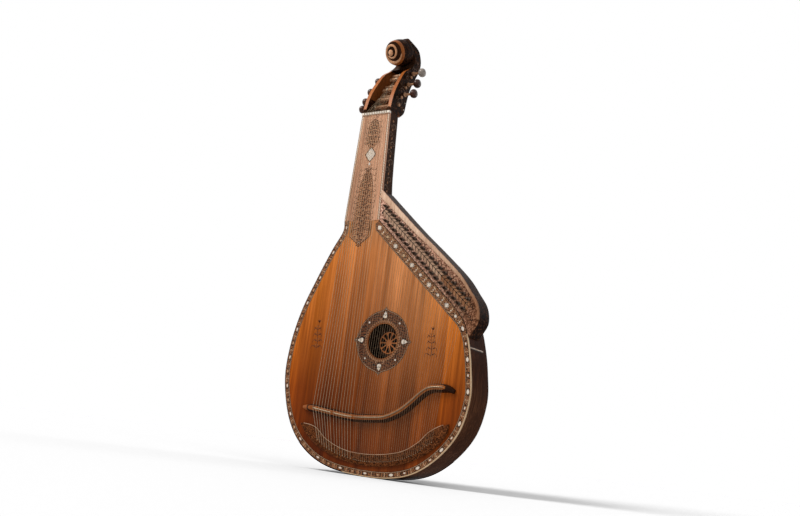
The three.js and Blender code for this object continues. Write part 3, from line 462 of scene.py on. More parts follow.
def board_wood():
    """Soundboard planks, each with its own tone, amber towards the edges and the neck, darker towards the
    bottom as painted shade and paler at the top as a painted sheen.
    """
    p = Paint("soundboard_planks", specular=0.07)
    plank_width = 0.031
    x, z = p.axis(0), p.axis(2)
    wander = p.times(p.noise((3, 3, 1.2), 1.0), 0.05)
    plank = p.math("DIVIDE", p.add(x, 0.30), plank_width)
    tone = p.node("TexWhiteNoise", {"W": p.math("FLOOR", plank)}, noise_dimensions="1D").outputs["Value"]
    across = p.add(p.add(x, wander), p.times(tone, 0.05))
    shade = p.ramp(p.add(p.times(across, 1.9), 0.5), (0.03, srgb(234, 134, 22)), (0.13, srgb(224, 120, 22)),
                   (0.24, srgb(190, 104, 36)), (0.45, srgb(182, 104, 48)), (0.62, srgb(194, 120, 68)),
                   (0.8, srgb(204, 130, 74)), (0.95, srgb(212, 122, 46)))
    # Painted light by height: darker low on the board as painted shade, paler and bluer at the top as a
    # painted sheen.
    height = p.ramp(p.times(z, 1.8), (0.06, (0.35, 0.2, 0.09)), (0.3, (0.54, 0.38, 0.22)),
                    (0.5, (0.96, 0.86, 0.74)), (0.68, (1.42, 1.44, 1.46)), (0.84, (1.8, 1.95, 2.1)),
                    (0.94, (1.55, 2.0, 2.9)))
    streaks = p.ramp(p.noise((170, 170, 3), 4.0), (0.34, (0.72, 0.68, 0.62)), (0.66, (1.18, 1.22, 1.3)))
    flames = p.ramp(p.noise((46, 46, 1.6), 3.0, distortion=0.4),
                    (0.34, (0.74, 0.7, 0.66)), (0.66, (1.14, 1.2, 1.28)))
    fibre = p.noise((900, 900, 9), 7.0, 0.66)
    year = p.node("TexWave", {"Vector": p.scaled((1, 0, 0.018)), "Scale": 190.0, "Distortion": 2.2,
                              "Detail": 3.0, "Detail Scale": 1.2}, wave_type="BANDS", bands_direction="X")
    stripe = p.ramp(year.outputs["Fac"], (0.1, 0.66), (0.55, 1.0))
    fibres = p.ramp(fibre, (0.3, 0.55), (0.62, 1.15))
    planks = p.ramp(tone, (0.0, 0.78), (1.0, 1.1))
    from_middle = p.math("ABSOLUTE", p.math("SUBTRACT", p.math("FRACT", plank), 0.5))
    seam = p.ramp(from_middle, (0.482, 1.0), (0.494, 0.66))
    stain = p.ramp(p.noise((11, 11, 2.6), 4.0), (0.3, 0.6), (0.7, 1.2))
    for layer, amount in ((stripe, 0.6), (fibres, 0.85), (planks, 1.0), (seam, 0.8), (stain, 0.8),
                          (streaks, 0.9), (flames, 0.9), (height, 1.0)):
        shade = p.multiplied(shade, layer, amount)
    return p.finish(shade, fibre, (0.32, 0.5), fibre, 0.22, 0.00025)


def marquetry(name, ground, dark, light, size=420.0):
    """Inlaid ground: grained veneer with fine dark curls and a few light chips."""
    p = Paint(name, specular=0.14)
    warp = p.noise(size / 4, 2.0, distortion=2.5)
    curls = p.node("TexWave", {"Vector": p.scaled(1), "Scale": size / 5, "Distortion": 9.0, "Detail": 2.0,
                               "Detail Scale": 1.6}, wave_type="RINGS", rings_direction="SPHERICAL")
    lines = p.ramp(curls.outputs["Fac"], (0.22, 0.0), (0.42, 1.0))
    colour = p.mix(lines, srgb(*dark), srgb(*ground))
    colour = p.mix(p.times(p.ramp(warp, (0.6, 0.0), (0.66, 1.0)), 0.6), colour, srgb(*light))
    fibre = p.noise((700, 700, 60), 5.0)
    colour = p.multiplied(colour, p.ramp(fibre, (0.3, 0.66), (0.66, 1.1)), 0.6)
    return p.finish(colour, warp, (0.3, 0.5), lines, 0.3, 0.0003)


def carved(name, dark, mid, light, size, painted_light=None):
    """Low relief carving, painted lighter on its high parts as a painted gleam and darker in its hollows as
    painted shade.
    """
    p = Paint(name, specular=0.012)
    warp = p.noise(size / 3, 2.0, distortion=3.0)
    cells = p.node("TexVoronoi", {"Vector": p.scaled(1), "Scale": size, "Randomness": 0.9},
                   feature="SMOOTH_F1")
    relief = p.add(p.times(cells.outputs["Distance"], -0.8), p.times(warp, 0.9))
    # Painted light on the relief: painted shade in the hollows, a painted gleam on the high parts.
    colour = p.ramp(relief, (0.0, srgb(*dark)), (0.22, srgb(*mid)), (0.5, srgb(*light)))
    fibre = p.noise((500, 500, 30), 5.0)
    colour = p.with_painted_light(p.multiplied(colour, p.ramp(fibre, (0.3, 0.7), (0.7, 1.1)), 0.5), painted_light)
    return p.finish(colour, warp, (0.28, 0.5), relief, 0.55, 0.0012)


def pearl_shell():
    """Mother of pearl with soft changes of hue."""
    p = Paint("pearl", specular=0.25)
    drift = p.noise(180, 3.0, distortion=1.5)
    colour = p.ramp(drift, (0.3, srgb(206, 184, 160)), (0.45, srgb(236, 220, 200)),
                    (0.55, srgb(214, 206, 196)), (0.7, srgb(242, 226, 210)))
    return p.finish(colour, drift, (0.2, 0.38), drift, 0.08, 0.0002)


def metal(name, low, high, rough=(0.25, 0.42), scale=900):
    """Drawn or turned metal with fine scratches."""
    p = Paint(name, metal=1.0)
    scratch = p.noise(scale, 4.0)
    colour = p.ramp(scratch, (0.3, srgb(*low)), (0.7, srgb(*high)))
    return p.finish(colour, scratch, rough, scratch, 0.08, 0.0001)


GLOSS_GRAIN = (380, 380, 12)
LEAF = {"grain": (600, 600, 200), "rough": (0.34, 0.5)}
BOARD = board_wood()
# Dark bowl wood, painted paler and bluer towards the bottom of the bowl as a painted reflection of the
# floor.
DARK = wood("dark_gloss_wood", (38, 18, 9), (60, 30, 16), (94, 54, 32), (260, 260, 8), (0.2, 0.32), 0.006,
            painted_light=(2, (0.2, (1.7, 2.3, 3.0)), (0.66, (1.45, 1.8, 2.1)), (0.84, (0.9, 0.85, 0.8))))
NECK = wood("neck_wood", (32, 18, 11), (58, 35, 22), (96, 62, 42), (320, 320, 9), (0.22, 0.36), 0.01)
BROWN = wood("brown_gloss_wood", (104, 54, 22), (158, 88, 38), (206, 128, 62), GLOSS_GRAIN, (0.22, 0.38),
             0.1)
# Dark wood for the bridge rail's lower faces: painted shade.
BRIDGE_SHADE_WOOD = wood("bridge_painted_shade_wood", (26, 13, 7), (44, 23, 13), (70, 40, 24), GLOSS_GRAIN, (0.2, 0.34), 0.05)
# Light rail wood, painted paler towards the left as painted light and darker towards the right as painted
# shade.
STRIP = wood("strip_wood", (168, 130, 104), (212, 174, 146), (236, 206, 180), (500, 500, 40), (0.36, 0.5),
             painted_light=(0, (0.25, (1.1, 1.1, 1.1)), (0.62, (0.9, 0.84, 0.78)), (0.9, (0.5, 0.36, 0.26))))
ROSE = wood("rose_wood", (136, 72, 34), (190, 110, 58), (220, 144, 86), (400, 400, 20), (0.4, 0.55))
SPRUCE = wood("bare_spruce", (170, 134, 86), (200, 166, 112), (222, 192, 142), 600, (0.55, 0.7))
BINDING = wood("pale_binding", (176, 140, 104), (212, 178, 140), (234, 206, 170), 900, (0.35, 0.45))
EBONY = wood("dark_line_wood", (16, 10, 7), (28, 18, 13), (46, 30, 20), 700, (0.3, 0.42), 0.08)
TAN = wood("tan_leaf_wood", (160, 118, 86), (206, 166, 132), (232, 200, 168), **LEAF)
BONE = wood("bone", (212, 196, 178), (238, 227, 212), (250, 243, 232), 500, (0.3, 0.4), 0.2, 0.05)
PANEL = wood("panel_wood", (146, 98, 72), (222, 166, 132), (250, 214, 186), (260, 260, 6), (0.34, 0.5), 0.1)
BORDER = marquetry("border_marquetry", (150, 98, 62), (58, 34, 21), (196, 158, 122))
ROUND = marquetry("rosette_marquetry", (104, 61, 36), (36, 21, 13), (144, 92, 57), 300.0)
FIELD = marquetry("field_marquetry", (186, 128, 90), (86, 52, 32), (224, 170, 126), 380.0)
# Wing ground, painted paler and greyer towards the left as a painted sheen and darker towards the right as
# painted shade.
WING_GROUND = carved("wing_ground", (104, 72, 56), (174, 130, 106), (224, 188, 164), 340.0,
                     painted_light=(0, (0.2, (1.8, 1.9, 2.1)), (0.5, (1.5, 1.5, 1.55)), (0.9, (0.68, 0.56, 0.44))))
SIDE_CARVING = carved("side_carving", (24, 12, 7), (52, 29, 17), (100, 62, 38), 200.0)
HITCH_CARVING = carved("hitch_carving", (60, 32, 17), (116, 66, 36), (170, 108, 64), 460.0)
SPRAY_DARK = wood("spray_dark_wood", (60, 32, 18), (86, 48, 28), (112, 66, 38), **LEAF)
SPRAY_LIGHT = wood("spray_light_wood", (110, 66, 36), (140, 86, 48), (166, 108, 64), **LEAF)
# Light leaves, painted paler towards the left as a painted sheen and darker towards the right as painted
# shade.
LEAF_LIGHT = wood("light_leaf_wood", (148, 110, 84), (190, 152, 124), (220, 186, 158), **LEAF,
                  painted_light=(0, (0.2, (1.1, 1.12, 1.16)), (0.55, (1.0, 0.97, 0.94)), (0.9, (0.6, 0.5, 0.4))))
LEAF_BROWN = wood("brown_leaf_wood", (112, 70, 44), (154, 104, 70), (192, 142, 104), **LEAF)
PEARL = pearl_shell()
# Lighter snail wood for the ridge and eye: a painted highlight on the raised carving.
SNAIL_HIGHLIGHT = wood("snail_ridge_painted_highlight_wood", (150, 94, 58), (202, 146, 104), (236, 194, 158), 300, (0.25, 0.4),
                   0.2)
# Lighter orange wood for the forward-facing cheek edges of the head: painted light.
EDGE_LIT = wood("cheek_edge_painted_light_wood", (120, 62, 24), (170, 94, 40), (206, 134, 74), GLOSS_GRAIN, (0.25, 0.4), 0.1)
# Darker wood for the throat of the head: painted shade.
THROAT_SHADE = wood("throat_painted_shade_wood", (70, 36, 15), (112, 62, 27), (150, 90, 44), GLOSS_GRAIN, (0.3, 0.45), 0.05)
# Lighter relief wood for raised carving on the neck and cheeks: a painted highlight standing for glints.
RELIEF_HIGHLIGHT = wood("relief_painted_highlight_wood", (58, 38, 27), (98, 71, 54), (142, 112, 90), (300, 300, 60), (0.25, 0.4), 0.06)
PEG_SHAFT = wood("peg_shaft_wood", (124, 84, 56), (172, 126, 92), (212, 170, 134), 500, (0.34, 0.46))
PEG_KNOB = wood("peg_knob_wood", (30, 15, 9), (62, 31, 18), (108, 60, 36), 300, (0.2, 0.34), 0.25)
PEG_HORN = wood("peg_horn", (112, 100, 92), (160, 148, 138), (200, 188, 178), 240, (0.25, 0.36), 0.3)
STEEL = metal("steel_wire", (104, 86, 68), (176, 154, 128))
WOUND = metal("wound_wire", (118, 98, 76), (196, 172, 142), (0.3, 0.5), (300, 300, 2600))
# Brighter wire for the strings below the bridge: a painted highlight.
WIRE_HIGHLIGHT = metal("wire_painted_highlight_below_bridge", (140, 120, 98), (212, 192, 164))
# Pale wire for the windings on the pegs: a painted glint.
WINDING_GLINT = metal("wire_winding_painted_glint", (176, 160, 142), (246, 234, 218), (0.3, 0.5), 1500)
# Pin steel: dark steel, darkened further as painted shade.
PIN_STEEL = metal("pin_steel", (38, 30, 25), (98, 84, 74), (0.22, 0.4))

for name, paint in (("fingerboard", PANEL), ("nut", BONE), *((f"brace_{i}", SPRUCE) for i in (1, 2, 3, 4))):
    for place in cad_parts[name].material_slots:
        place.material = paint

# Bowl outline, from the left of the neck round the bowl and up the shoulder to the right of the neck
left_foot = Vector((NECK_X - FOOT_WIDTH / 2, LENGTH))
right_foot = Vector((NECK_X + FOOT_WIDTH / 2, LENGTH))
bowl_curve = spline([left_foot, Vector((left_foot.x, 0.9553 * LENGTH)), *flat(BOWL)], 176)
shoulder = bowl_curve[-1]
outline = inwards(bowl_curve + [shoulder.lerp(right_foot, i / 24) for i in range(1, 25)], 0.35, closed=True)
outline[0].y = outline[-1].y = LENGTH
along_shoulder = (shoulder - right_foot).normalized()
across_shoulder = left_of(along_shoulder)
shoulder_length = (shoulder - right_foot).length
shoulder_heading = heading_of(along_shoulder)


def beside(along, across):
    """A place beside the shoulder, from its distance along it and across it."""
    return right_foot + along_shoulder * along + across_shoulder * across


def bowl_rings(wall, arc):
    """Skin of the bowl at a distance inside its outline: straight sides and a rounded edge."""
    radius = EDGE_RADIUS - wall
    rings = [ring_at(inwards(outline, wall, closed=True), BOWL_FRONT)]
    for inset, rise in quarter(arc):
        line = inwards(outline, wall + radius * inset, closed=True)
        rings.append(ring_at(line, DEPTH - EDGE_RADIUS + radius * rise))
    return rings


def circle(centre, radius, steps=96):
    return [centre + polar(a) * radius for a in around(steps)]


bowl = Solid()
bowl.loft(bowl_rings(WALL, 5)[::-1] + bowl_rings(0.0, 10))
bowl.make("bowl", [DARK], "dark_carved_wood", replaces="body_shell", smooth=35)

board = Solid()
board.slab(inwards(outline, 0.6, closed=True), 0.0, BOARD_BACK, [circle(HOLE, HOLE_RADIUS)])
board.make("planked_board", [BOARD], "amber_soundboard_wood", replaces="soundboard", smooth=30)

# Border round the soundboard, wider along the shoulder
border_width = []
for p in outline:
    wider = clamp((p.y - SHOULDER_FOOT) / 60.0) if p.x >= right_foot.x else 0.0
    border_width.append(lerp(BORDER_WIDTH, SHOULDER_BORDER_WIDTH, wider))


def widths(extra):
    return [w + extra for w in border_width]


def band(solid, line, near, far, front, back, mark=0):
    """Strip that follows a line between two distances inside it."""
    solid.loft([[at_depth(p, front), at_depth(q, front), at_depth(q, back), at_depth(p, back)]
                for p, q in zip(inwards(line, near), inwards(line, far))], mark)


border = Solid()
band(border, outline, 1.5, widths(0), -0.08, 1.3)
border.make("border_ground", [BORDER], "inlaid_marquetry", replaces="edge_border", smooth=0)
lines = Solid()
cream_from = next(i for i, p in enumerate(outline) if p.x > -60 and p.y < 60)
cream_to = next(i for i, p in enumerate(outline) if p.x > 0 and p.y > SHOULDER_FOOT)
low_line = outline[cream_from:cream_to + 1]
for line, near, far, front, back, mark in (
        (outline[:cream_from + 1], -0.05, 1.45, -0.14, 3.4, 1),
        (outline[cream_to:], -0.05, 1.45, -0.14, 3.4, 1),
        (low_line, -0.05, 1.75, -0.16, 3.4, 0), (low_line, 1.75, 2.5, -0.14, 1.0, 1),
        (outline, widths(-1.1), widths(-0.1), -0.14, 1.0, 1),
        (outline, widths(-0.1), widths(0.6), -0.12, 1.0, 2),
        (outline, widths(0.6), widths(1.5), -0.1, 1.0, 1)):
    band(lines, line, near, far, front, back, mark)
lines.make("border_lines", [BINDING, EBONY, TAN], "inlaid_marquetry", smooth=0)


# Ornament: inlays and low ridges laid on a surface
def lozenge(solid, centre, along, length, width, front, back, mark=0, curve=0.0):
    """Pointed oval inlay, its sides curved in or out."""
    along = along.normalized()
    shape = [centre + along * (powered(math.cos(a), 1.0 + curve) * length / 2)
             + left_of(along) * (powered(math.sin(a), 1.0 + curve) * width / 2) for a in around(24)]
    solid.slab(shape, front, back, mark=mark)


def drop(solid, centre, along, length, width, front, back, mark=0):
    """Inlay with one round and one pointed end."""
    shape = [centre + along * (math.cos(a) * length / 2)
             + left_of(along) * (math.sin(a) * math.sin(a / 2) ** 1.4 * width / 1.6) for a in around(24)]
    solid.slab(shape, front, back, mark=mark)


def dot(solid, p, radius, mark=0, flatness=0.2):
    """Domed round inlay."""
    solid.ball(at_depth(p, -0.02), radius, mark, 4, stretch=(1, flatness, 1))


def vine(start, heading, size, hand, turns=0.85, steps=12):
    """Line that leaves a point and winds into a scroll."""
    out = [Vector(start)]
    for k in range(steps):
        t = (k + 0.5) / steps
        step = size / steps * (1.45 - t)
        out.append(out[-1] + polar(heading + hand * turns * math.tau * t ** 1.25) * step)
    return out


def trace(solid, line, width, mark=0, lift=at_depth, normal=(0, 1, 0), high=0.16, taper=0.4):
    """Narrow inlay or ridge along a flat line, thinner at both ends."""
    n = len(line) - 1
    radii = [width / 2 * clamp(taper + 3.0 * min(k, n - k) / n) for k in range(n + 1)]
    solid.tube([lift(p) for p in line], radii, 6, mark, 2 * high / width, normal)


def scroll(solid, start, heading, size, hand, turns, width, mark=0, steps=12, **shape):
    """Traces a vine."""
    trace(solid, vine(start, heading, size, hand, turns, steps), width, mark, **shape)


# Border ornament: pearls with dark scrolls between them, larger along the shoulder
BORDER_UNITS = 47
PEARL_SIZES = {"shoulder": ((12.0, 7.6), (7.5, 5.0)), "right": ((10.0, 5.6), (5.6, 3.0)),
               "left": ((8.4, 3.6), (5.6, 2.2))}
places = spaced(inwards(outline, [0.9 + w / 2 for w in border_width]), BORDER_UNITS * 4)
border_inlay = Solid()
for i in range(1, BORDER_UNITS * 4 - 1):
    p = places[i]
    along = (places[i + 1] - places[i - 1]).normalized()
    side = left_of(along)
    grow = border_width[nearest(outline, p)] / BORDER_WIDTH
    on_shoulder, on_right = grow > 1.3, p.x > 60
    kind = i % 4
    if kind == 2:
        big = (i // 4) % 2 == 0
        large, small = PEARL_SIZES["shoulder" if on_shoulder else "right" if on_right else "left"]
        long, wide = large if big else small
        mark = 0 if big or on_right else 3
        lozenge(border_inlay, p, along, long, wide * grow ** 0.4, -0.2, 0.4, mark, 0.35)
    elif kind == 0:
        dot(border_inlay, p, (1.3 if on_shoulder else 0.95) * grow ** 0.5, 0 if on_shoulder else 3)
        for hand in (-1, 1):
            lozenge(border_inlay, p + side * hand * 2.6 * grow, turned_by(along, hand * 0.5), 3.6 * grow,
                    1.3 * grow, -0.18, 0.4, 3 if on_shoulder else 2)
    else:
        way = 1 if kind == 1 else -1
        heading = heading_of(along) + (0 if kind == 1 else math.pi)
        for hand in (-1, 1):
            for reach, w, start, mark in ((8.6, 0.75, 0.4, 1), (5.2, 0.6, 1.1, 2 if on_shoulder else 1)):
                scroll(border_inlay, p + side * hand * start * grow, heading - hand * way * 0.25,
                       reach * grow ** 0.7, hand * way, 0.85, w * grow ** 0.6, mark, high=0.2)
border_inlay.make("border_inlay", [PEARL, EBONY, TAN, BINDING], "inlaid_marquetry")

# Two floral sprays in darker wood on the soundboard
sprays = Solid()
for centre, size in ((Vector((-171, 279)), 62.0), (Vector((119, 273)), 58.0)):
    stem_line = [centre + Vector((2.0 * math.sin(k / 14 * math.tau), (k / 14 - 0.5) * size))
                 for k in range(15)]
    trace(sprays, stem_line, 1.3)
    for k in range(4):
        base = stem_line[1 + 3 * k]
        for hand in (-1, 1):
            scroll(sprays, base, math.pi / 2 - hand * 0.5, size * (0.4 - 0.05 * k), -hand, 0.6, 1.2)
            along = Vector((hand * 0.8, 0.6)).normalized()
            drop(sprays, base + along * size * 0.14, along, size * 0.13, size * 0.045, -0.12, 0.4)
            bud = base + along * size * 0.07 + Vector((0, 6))
            drop(sprays, bud, along, size * 0.08, size * 0.035, -0.12, 0.4, 1)
    for angle in (-0.7, 0.0, 0.7):
        along = turned_by(UP, angle)
        drop(sprays, stem_line[-1] + along * 3, along, size * 0.13, size * 0.05, -0.12, 0.4)
sprays.make("floral_sprays", [SPRAY_DARK, SPRAY_LIGHT], "inlaid_marquetry")

# Beaded strip across the right side of the bowl
side_inlay = Solid()
right_side = [Vector((p.y, p.x)) for p in sorted(outline, key=lambda p: p.y) if p.x > 100]
for z, half, mark in ((270.0, 1.5, 2), (267.6, 0.5, 1), (272.4, 0.5, 1)):
    x = value_at(right_side, z)
    corners = ((x - 0.4, z - half), (x + 0.12, z - half), (x + 0.12, z + half), (x - 0.4, z + half))
    side_inlay.loft([[Vector((across, y, up)) for across, up in corners] for y in (4.4, 30, 58)], mark)
    if mark == 2:
        for k in range(13):
            side_inlay.ball(Vector((x + 0.1, 6.5 + 4.2 * k, z)), 1.3, stretch=(0.35, 1, 1))
side_inlay.make("side_inlay", [PEARL, EBONY, LEAF_BROWN], "inlaid_marquetry")


# Neck: flat front under the fingerboard, rounded back, deepening into the heel
def neck_width(z):
    return lerp(FOOT_WIDTH, HEAD_WIDTH, (z - LENGTH) / NECK_LENGTH)


def on_neck(across, z):
    """A place on the plane of the fingerboard, from its distance to the middle line."""
    return Vector((NECK_X + across, z))


def neck_edge(z, hand=1, inset=0.0):
    return on_neck(hand * (neck_width(z) / 2 - inset), z)


def neck_depth(share):
    """Depth at a share of the neck's length, with the corners of its table rounded off."""
    shares = [clamp(share + d) for d in (-0.05, -0.025, 0, 0.025, 0.05)]
    return lerp(NECK_HEAD_DEPTH, NECK_HEEL_DEPTH, sum(value_at(NECK_DEPTHS, s) for s in shares) / 5) - 0.6


def neck_skin(hand, p):
    """Place on a side of the neck from its depth and height."""
    deep = neck_depth((p.y - LENGTH - GAP) / (NECK_LENGTH - GAP))
    a = math.asin(clamp((p.x - NECK_FRONT) / deep, 0.0, 0.97) ** (1 / NECK_FULLNESS))
    half = (neck_width(p.y) / 2 - 0.1) * math.cos(a) ** NECK_FULLNESS
    return Vector((NECK_X + hand * (half + 0.05), p.x, p.y))


def neck_ring(share):
    """Cross-section of the neck."""
    z = LENGTH + GAP + share * (NECK_LENGTH - GAP)
    half, deep = neck_width(z) / 2 - 0.1, neck_depth(share)
    angles = [k / 36 * math.pi for k in range(37)]
    return [Vector((NECK_X + half * powered(math.cos(a), NECK_FULLNESS),
                    NECK_FRONT + deep * powered(math.sin(a), NECK_FULLNESS), z)) for a in angles]


neck = Solid()
neck.loft([neck_ring(i / 40) for i in range(41)])
neck.make("neck_back", [NECK], "dark_neck_wood", replaces="neck", smooth=50)

# Carved scrolls on the neck's sides in lighter wood as a painted highlight.
neck_carving = Solid()
for hand in (-1, 1):
    for k in range(11):
        z = 556 + 20.6 * k
        way = 1 if k % 2 else -1
        start = Vector((13 + 7 * (k % 2), z - 9))
        for reach, swing, turn_to, w in ((36, 0.0, way, 2.1), (20, -0.45, way, 1.5), (15, 0.75, -way, 1.2)):
            scroll(neck_carving, start, math.pi / 2 + way * swing, reach, turn_to, 0.95, w, steps=16,
                   lift=lambda p: neck_skin(hand, p), normal=(hand, 0, 0), high=0.7)
        neck_carving.ball(neck_skin(hand, Vector((17, z + 9))), 2.2, 1, stretch=(0.35, 1, 1.5))
neck_carving.make("neck_carving", [RELIEF_HIGHLIGHT, LEAF_BROWN], "dark_neck_wood", smooth=50)

# Fingerboard: pearl rope along both edges, lines round the shield of its tongue
panel = Solid()
rope_low, rope_high = 538.5, 783.5
for hand in (-1, 1):
    for inset, wide, mark in ((0.55, 0.9, 1), (2.8, 3.6, 2), (5.0, 0.7, 1), (5.9, 0.6, 2)):
        line = [neck_edge(rope_low, hand, inset), neck_edge(rope_high, hand, inset)]
        trace(panel, line, wide, mark, high=0.12, taper=1)
    for k in range(39):
        p = neck_edge(lerp(rope_low + 3.2, rope_high - 3.2, k / 38), hand, 2.8)
        lozenge(panel, p, turned_by(UP, hand * 0.35), 6.4, 2.9, -0.2, 0.4, 0, 0.1)
for half, side_z, tip_z, wide, mark in ((27.4, 502, 481.6, 1.2, 1), (25.6, 503, 483.8, 0.8, 2)):
    corners = [on_neck(*p) for p in ((-half, 536), (-half, side_z), (0, tip_z), (half, side_z), (half, 536))]
    for ends in zip(corners, corners[1:]):
        trace(panel, ends, wide, mark, high=0.12, taper=1)

# Two marquetry fields down its middle, filled with paired scrolls
for low, high, low_half, high_half in ((495, 655, 21.5, 13.0), (712, 774, 16.0, 9.0)):
    half_line = spline([(0.0, low - 10), (low_half * 0.4, low - 5), (low_half, low + 9),
                        (low_half * 0.98, lerp(low, high, 0.45)),
                        (lerp(low_half, high_half, 0.7), lerp(low, high, 0.82)), (1.2, high)], 24)
    shape = [on_neck(p.x, p.y) for p in half_line] + [on_neck(-p.x, p.y) for p in half_line[:0:-1]]
    panel.slab(shape, -0.06, 0.3, mark=3)
    trace(panel, shape + shape[:1], 1.0, 1, high=0.12, taper=1)
down = -math.pi / 2
for k in range(24):
    z = 772 - 12.5 * k
    if 664 < z < 712:
        continue
    if z > 716:
        spread = 0.72
    elif z > 545:
        spread = lerp(0.75, 1.0, clamp((664 - z) / 70))
    else:
        spread = lerp(0.55, 0.9, (z - 490) / 55)
    for hand in (-1, 1):
        foot = on_neck(hand * 0.6, z)
        side_foot = on_neck(hand * 18.5 * spread, z - 4)
        beside_foot = foot + Vector((hand * 3.0, 1.5))
        scroll(panel, foot, down + hand * 1.15, 24 * spread, -hand, 0.82, 1.5, 1, 14)
        scroll(panel, beside_foot, down + hand * 1.9, 17 * spread, hand, 0.8, 0.9, 1)
        drop(panel, foot + Vector((hand * 9 * spread, -3.0)), Vector((hand * 0.8, -0.6)).normalized(),
             6.5, 3.2, -0.13, 0.4, 1)
        if spread > 0.7:
            scroll(panel, side_foot, down + hand * 0.5, 19 * spread, hand, 0.85, 1.1, 1)
            scroll(panel, side_foot, down - hand * 0.7, 14 * spread, -hand, 0.8, 0.9, 1)
    if k % 2:
        dot(panel, on_neck(0, z + 4), 1.2, flatness=0.15)
for ends in ((776, 714), (665, 488)):
    trace(panel, [on_neck(0, z) for z in ends], 1.0, 1, taper=1)
for z, long, wide, front, back, mark, curve in (
        (690, 31, 24, -0.16, 0.4, 0, 0.75), (690, 36, 30, -0.12, 0.3, 1, 0.75),
        (668, 7, 5.6, -0.16, 0.4, 0, 0.4)):
    lozenge(panel, on_neck(0, z), UP, long, wide, front, back, mark, curve)
panel.make("fingerboard_inlay", [PEARL, SPRAY_DARK, TAN, FIELD], "inlaid_marquetry")

# Wing: pin block beside the shoulder; its edge runs clockwise, so inwards is to the right
WING_TURN = -1
bowl_side = inwards(outline, -GAP)
wing_curve = spline([beside(a * shoulder_length, c * WING_WIDTH) for a, c in WING], 120)
wing_edge = [p for p in wing_curve if p.x > neck_edge(p.y).x + GAP and not within(p, bowl_side)]
wing_edge.insert(0, Vector((neck_edge(wing_edge[0].y).x + GAP, wing_edge[0].y + 0.5)))
wing_inner = bowl_side[nearest(bowl_side, wing_edge[-1]):]
wing_inner += [neck_edge(z, inset=-GAP) for z in (LENGTH + 15, LENGTH + 40)]
block = Solid()
edge_steps = [(0.0, 0.5), (0.5, 0.0), (15.0, 0.0), (30.0, 0.0)]
edge_steps += [(WING_DEPTH - WING_EDGE_RADIUS * (1 - rise), WING_EDGE_RADIUS * inset)
               for inset, rise in quarter(6)]
block.loft([ring_at(inwards(wing_edge, inset * WING_TURN) + wing_inner, depth)
            for depth, inset in edge_steps])
block.mark_faces(lambda points: 0 if middle_of(points).y < 0.3 else 1)
block.make("wing_body", [WING_GROUND, SIDE_CARVING], "brown_carved_wood", replaces="wing_block")

strip = Solid()
strip_line = [p for p in wing_edge if p.y > 322.0]
rings = []
for i, (p, q) in enumerate(zip(strip_line, inwards(strip_line, 1.0 * WING_TURN))):
    share = i / (len(strip_line) - 1)
    wide = lerp(15.0, 5.6, min(1, share * 1.15) ** 0.7)
    section = ((0.45, 0.35), (0.45, 1.7), (0.9, 2.5), (1.8, 2.8), (wide - 1.4, 2.8), (wide - 0.5, 2.5),
               (wide - 0.2, 1.8), (wide - 0.2, 0.35))
    rings.append([at_depth(p + (q - p).normalized() * d, -h) for d, h in section])
strip.loft(rings)
strip.make("wing_rail", [STRIP], "light_strip_wood", replaces="wing_edge_strip", smooth=30)

# Herringbone of leaves between the rows of pins, with small scrolls beyond them
wing_inlay = Solid()
LEAVES, LIGHT_LEAVES, LEAF_STEP, LEAF_LINE = 30, 21, 10.4, 21.5
wing_inlay.slab([beside(a, c) for a, c in ((-8, 14.2), (302, 14.2), (302, 28.8), (-8, 28.8))],
                -0.12, 0.3, mark=2)
for i in range(LEAVES):
    a = -7.0 + i * LEAF_STEP
    for hand in (-1, 1):
        corners = [(a, 0.7), (a + 8.2, 0.7), (a + 14.4, 7.0), (a + 6.2, 7.0)]
        wing_inlay.slab([beside(x, LEAF_LINE + hand * d) for x, d in corners], -0.35, 0.3,
                        mark=0 if i < LIGHT_LEAVES else 1)
    if i < LEAVES - 1:
        scroll(wing_inlay, beside(a, 37.0), shoulder_heading + 0.8, 9.0, -1, 0.85, 1.0, 2, high=0.35)
        drop(wing_inlay, beside(a + 7.0, 38.2), turned_by(along_shoulder, 0.5), 5.0, 2.4, -0.35, 0.3)
trace(wing_inlay, [beside(-8 + 10 * k, LEAF_LINE) for k in range(32)], 1.1, 2, high=0.4)
wing_field = inwards(wing_edge, 12.0 * WING_TURN) + inwards(wing_inner, 4.0 * WING_TURN)
for k in range(5):
    for hand in (-1, 1):
        start = beside(296 + 8 * k, 17.0 + hand * (1.0 + 0.8 * k))
        line = vine(start, shoulder_heading + hand * 0.5, 15.0, hand)
        if all(within(q, wing_field) for q in line):
            trace(wing_inlay, line, 1.4, 2, high=0.35)
            drop(wing_inlay, line[5] + across_shoulder * hand * 2.5,
                 turned_by(along_shoulder, hand * 0.7), 5.0, 2.6, -0.35, 0.3, 1)
wing_inlay.make("wing_inlay", [LEAF_LIGHT, LEAF_BROWN, EBONY], "brown_carved_wood")

# Bridge
bridge_line = spline(flat(BRIDGE), 104)
bridge = Solid()
BRIDGE_SECTION = ((-9.6, 0.3), (-9.5, 2.2), (-8.8, 4.6), (-7.6, 8.0), (-6.2, 11.0), (-4.6, 12.6),
                  (-3.2, 13.2), (3.2, 13.2), (4.4, 12.6), (5.3, 11.0), (6.1, 8.0), (6.9, 4.6), (7.4, 2.6),
                  (7.4, 0.3))
rings = []
last = len(bridge_line) - 1
for i, p in enumerate(bridge_line):
    across = left_of((bridge_line[min(i + 1, last)] - bridge_line[max(i - 1, 0)]).normalized())
    share = i / last
    swell = lerp(0.42, 1.0, clamp(min(share, 1 - share) / 0.064) ** 0.7)
    rings.append([at_depth(p + across * d * swell, -0.3 - (h - 0.3) * swell) for d, h in BRIDGE_SECTION])
bridge.loft(rings)


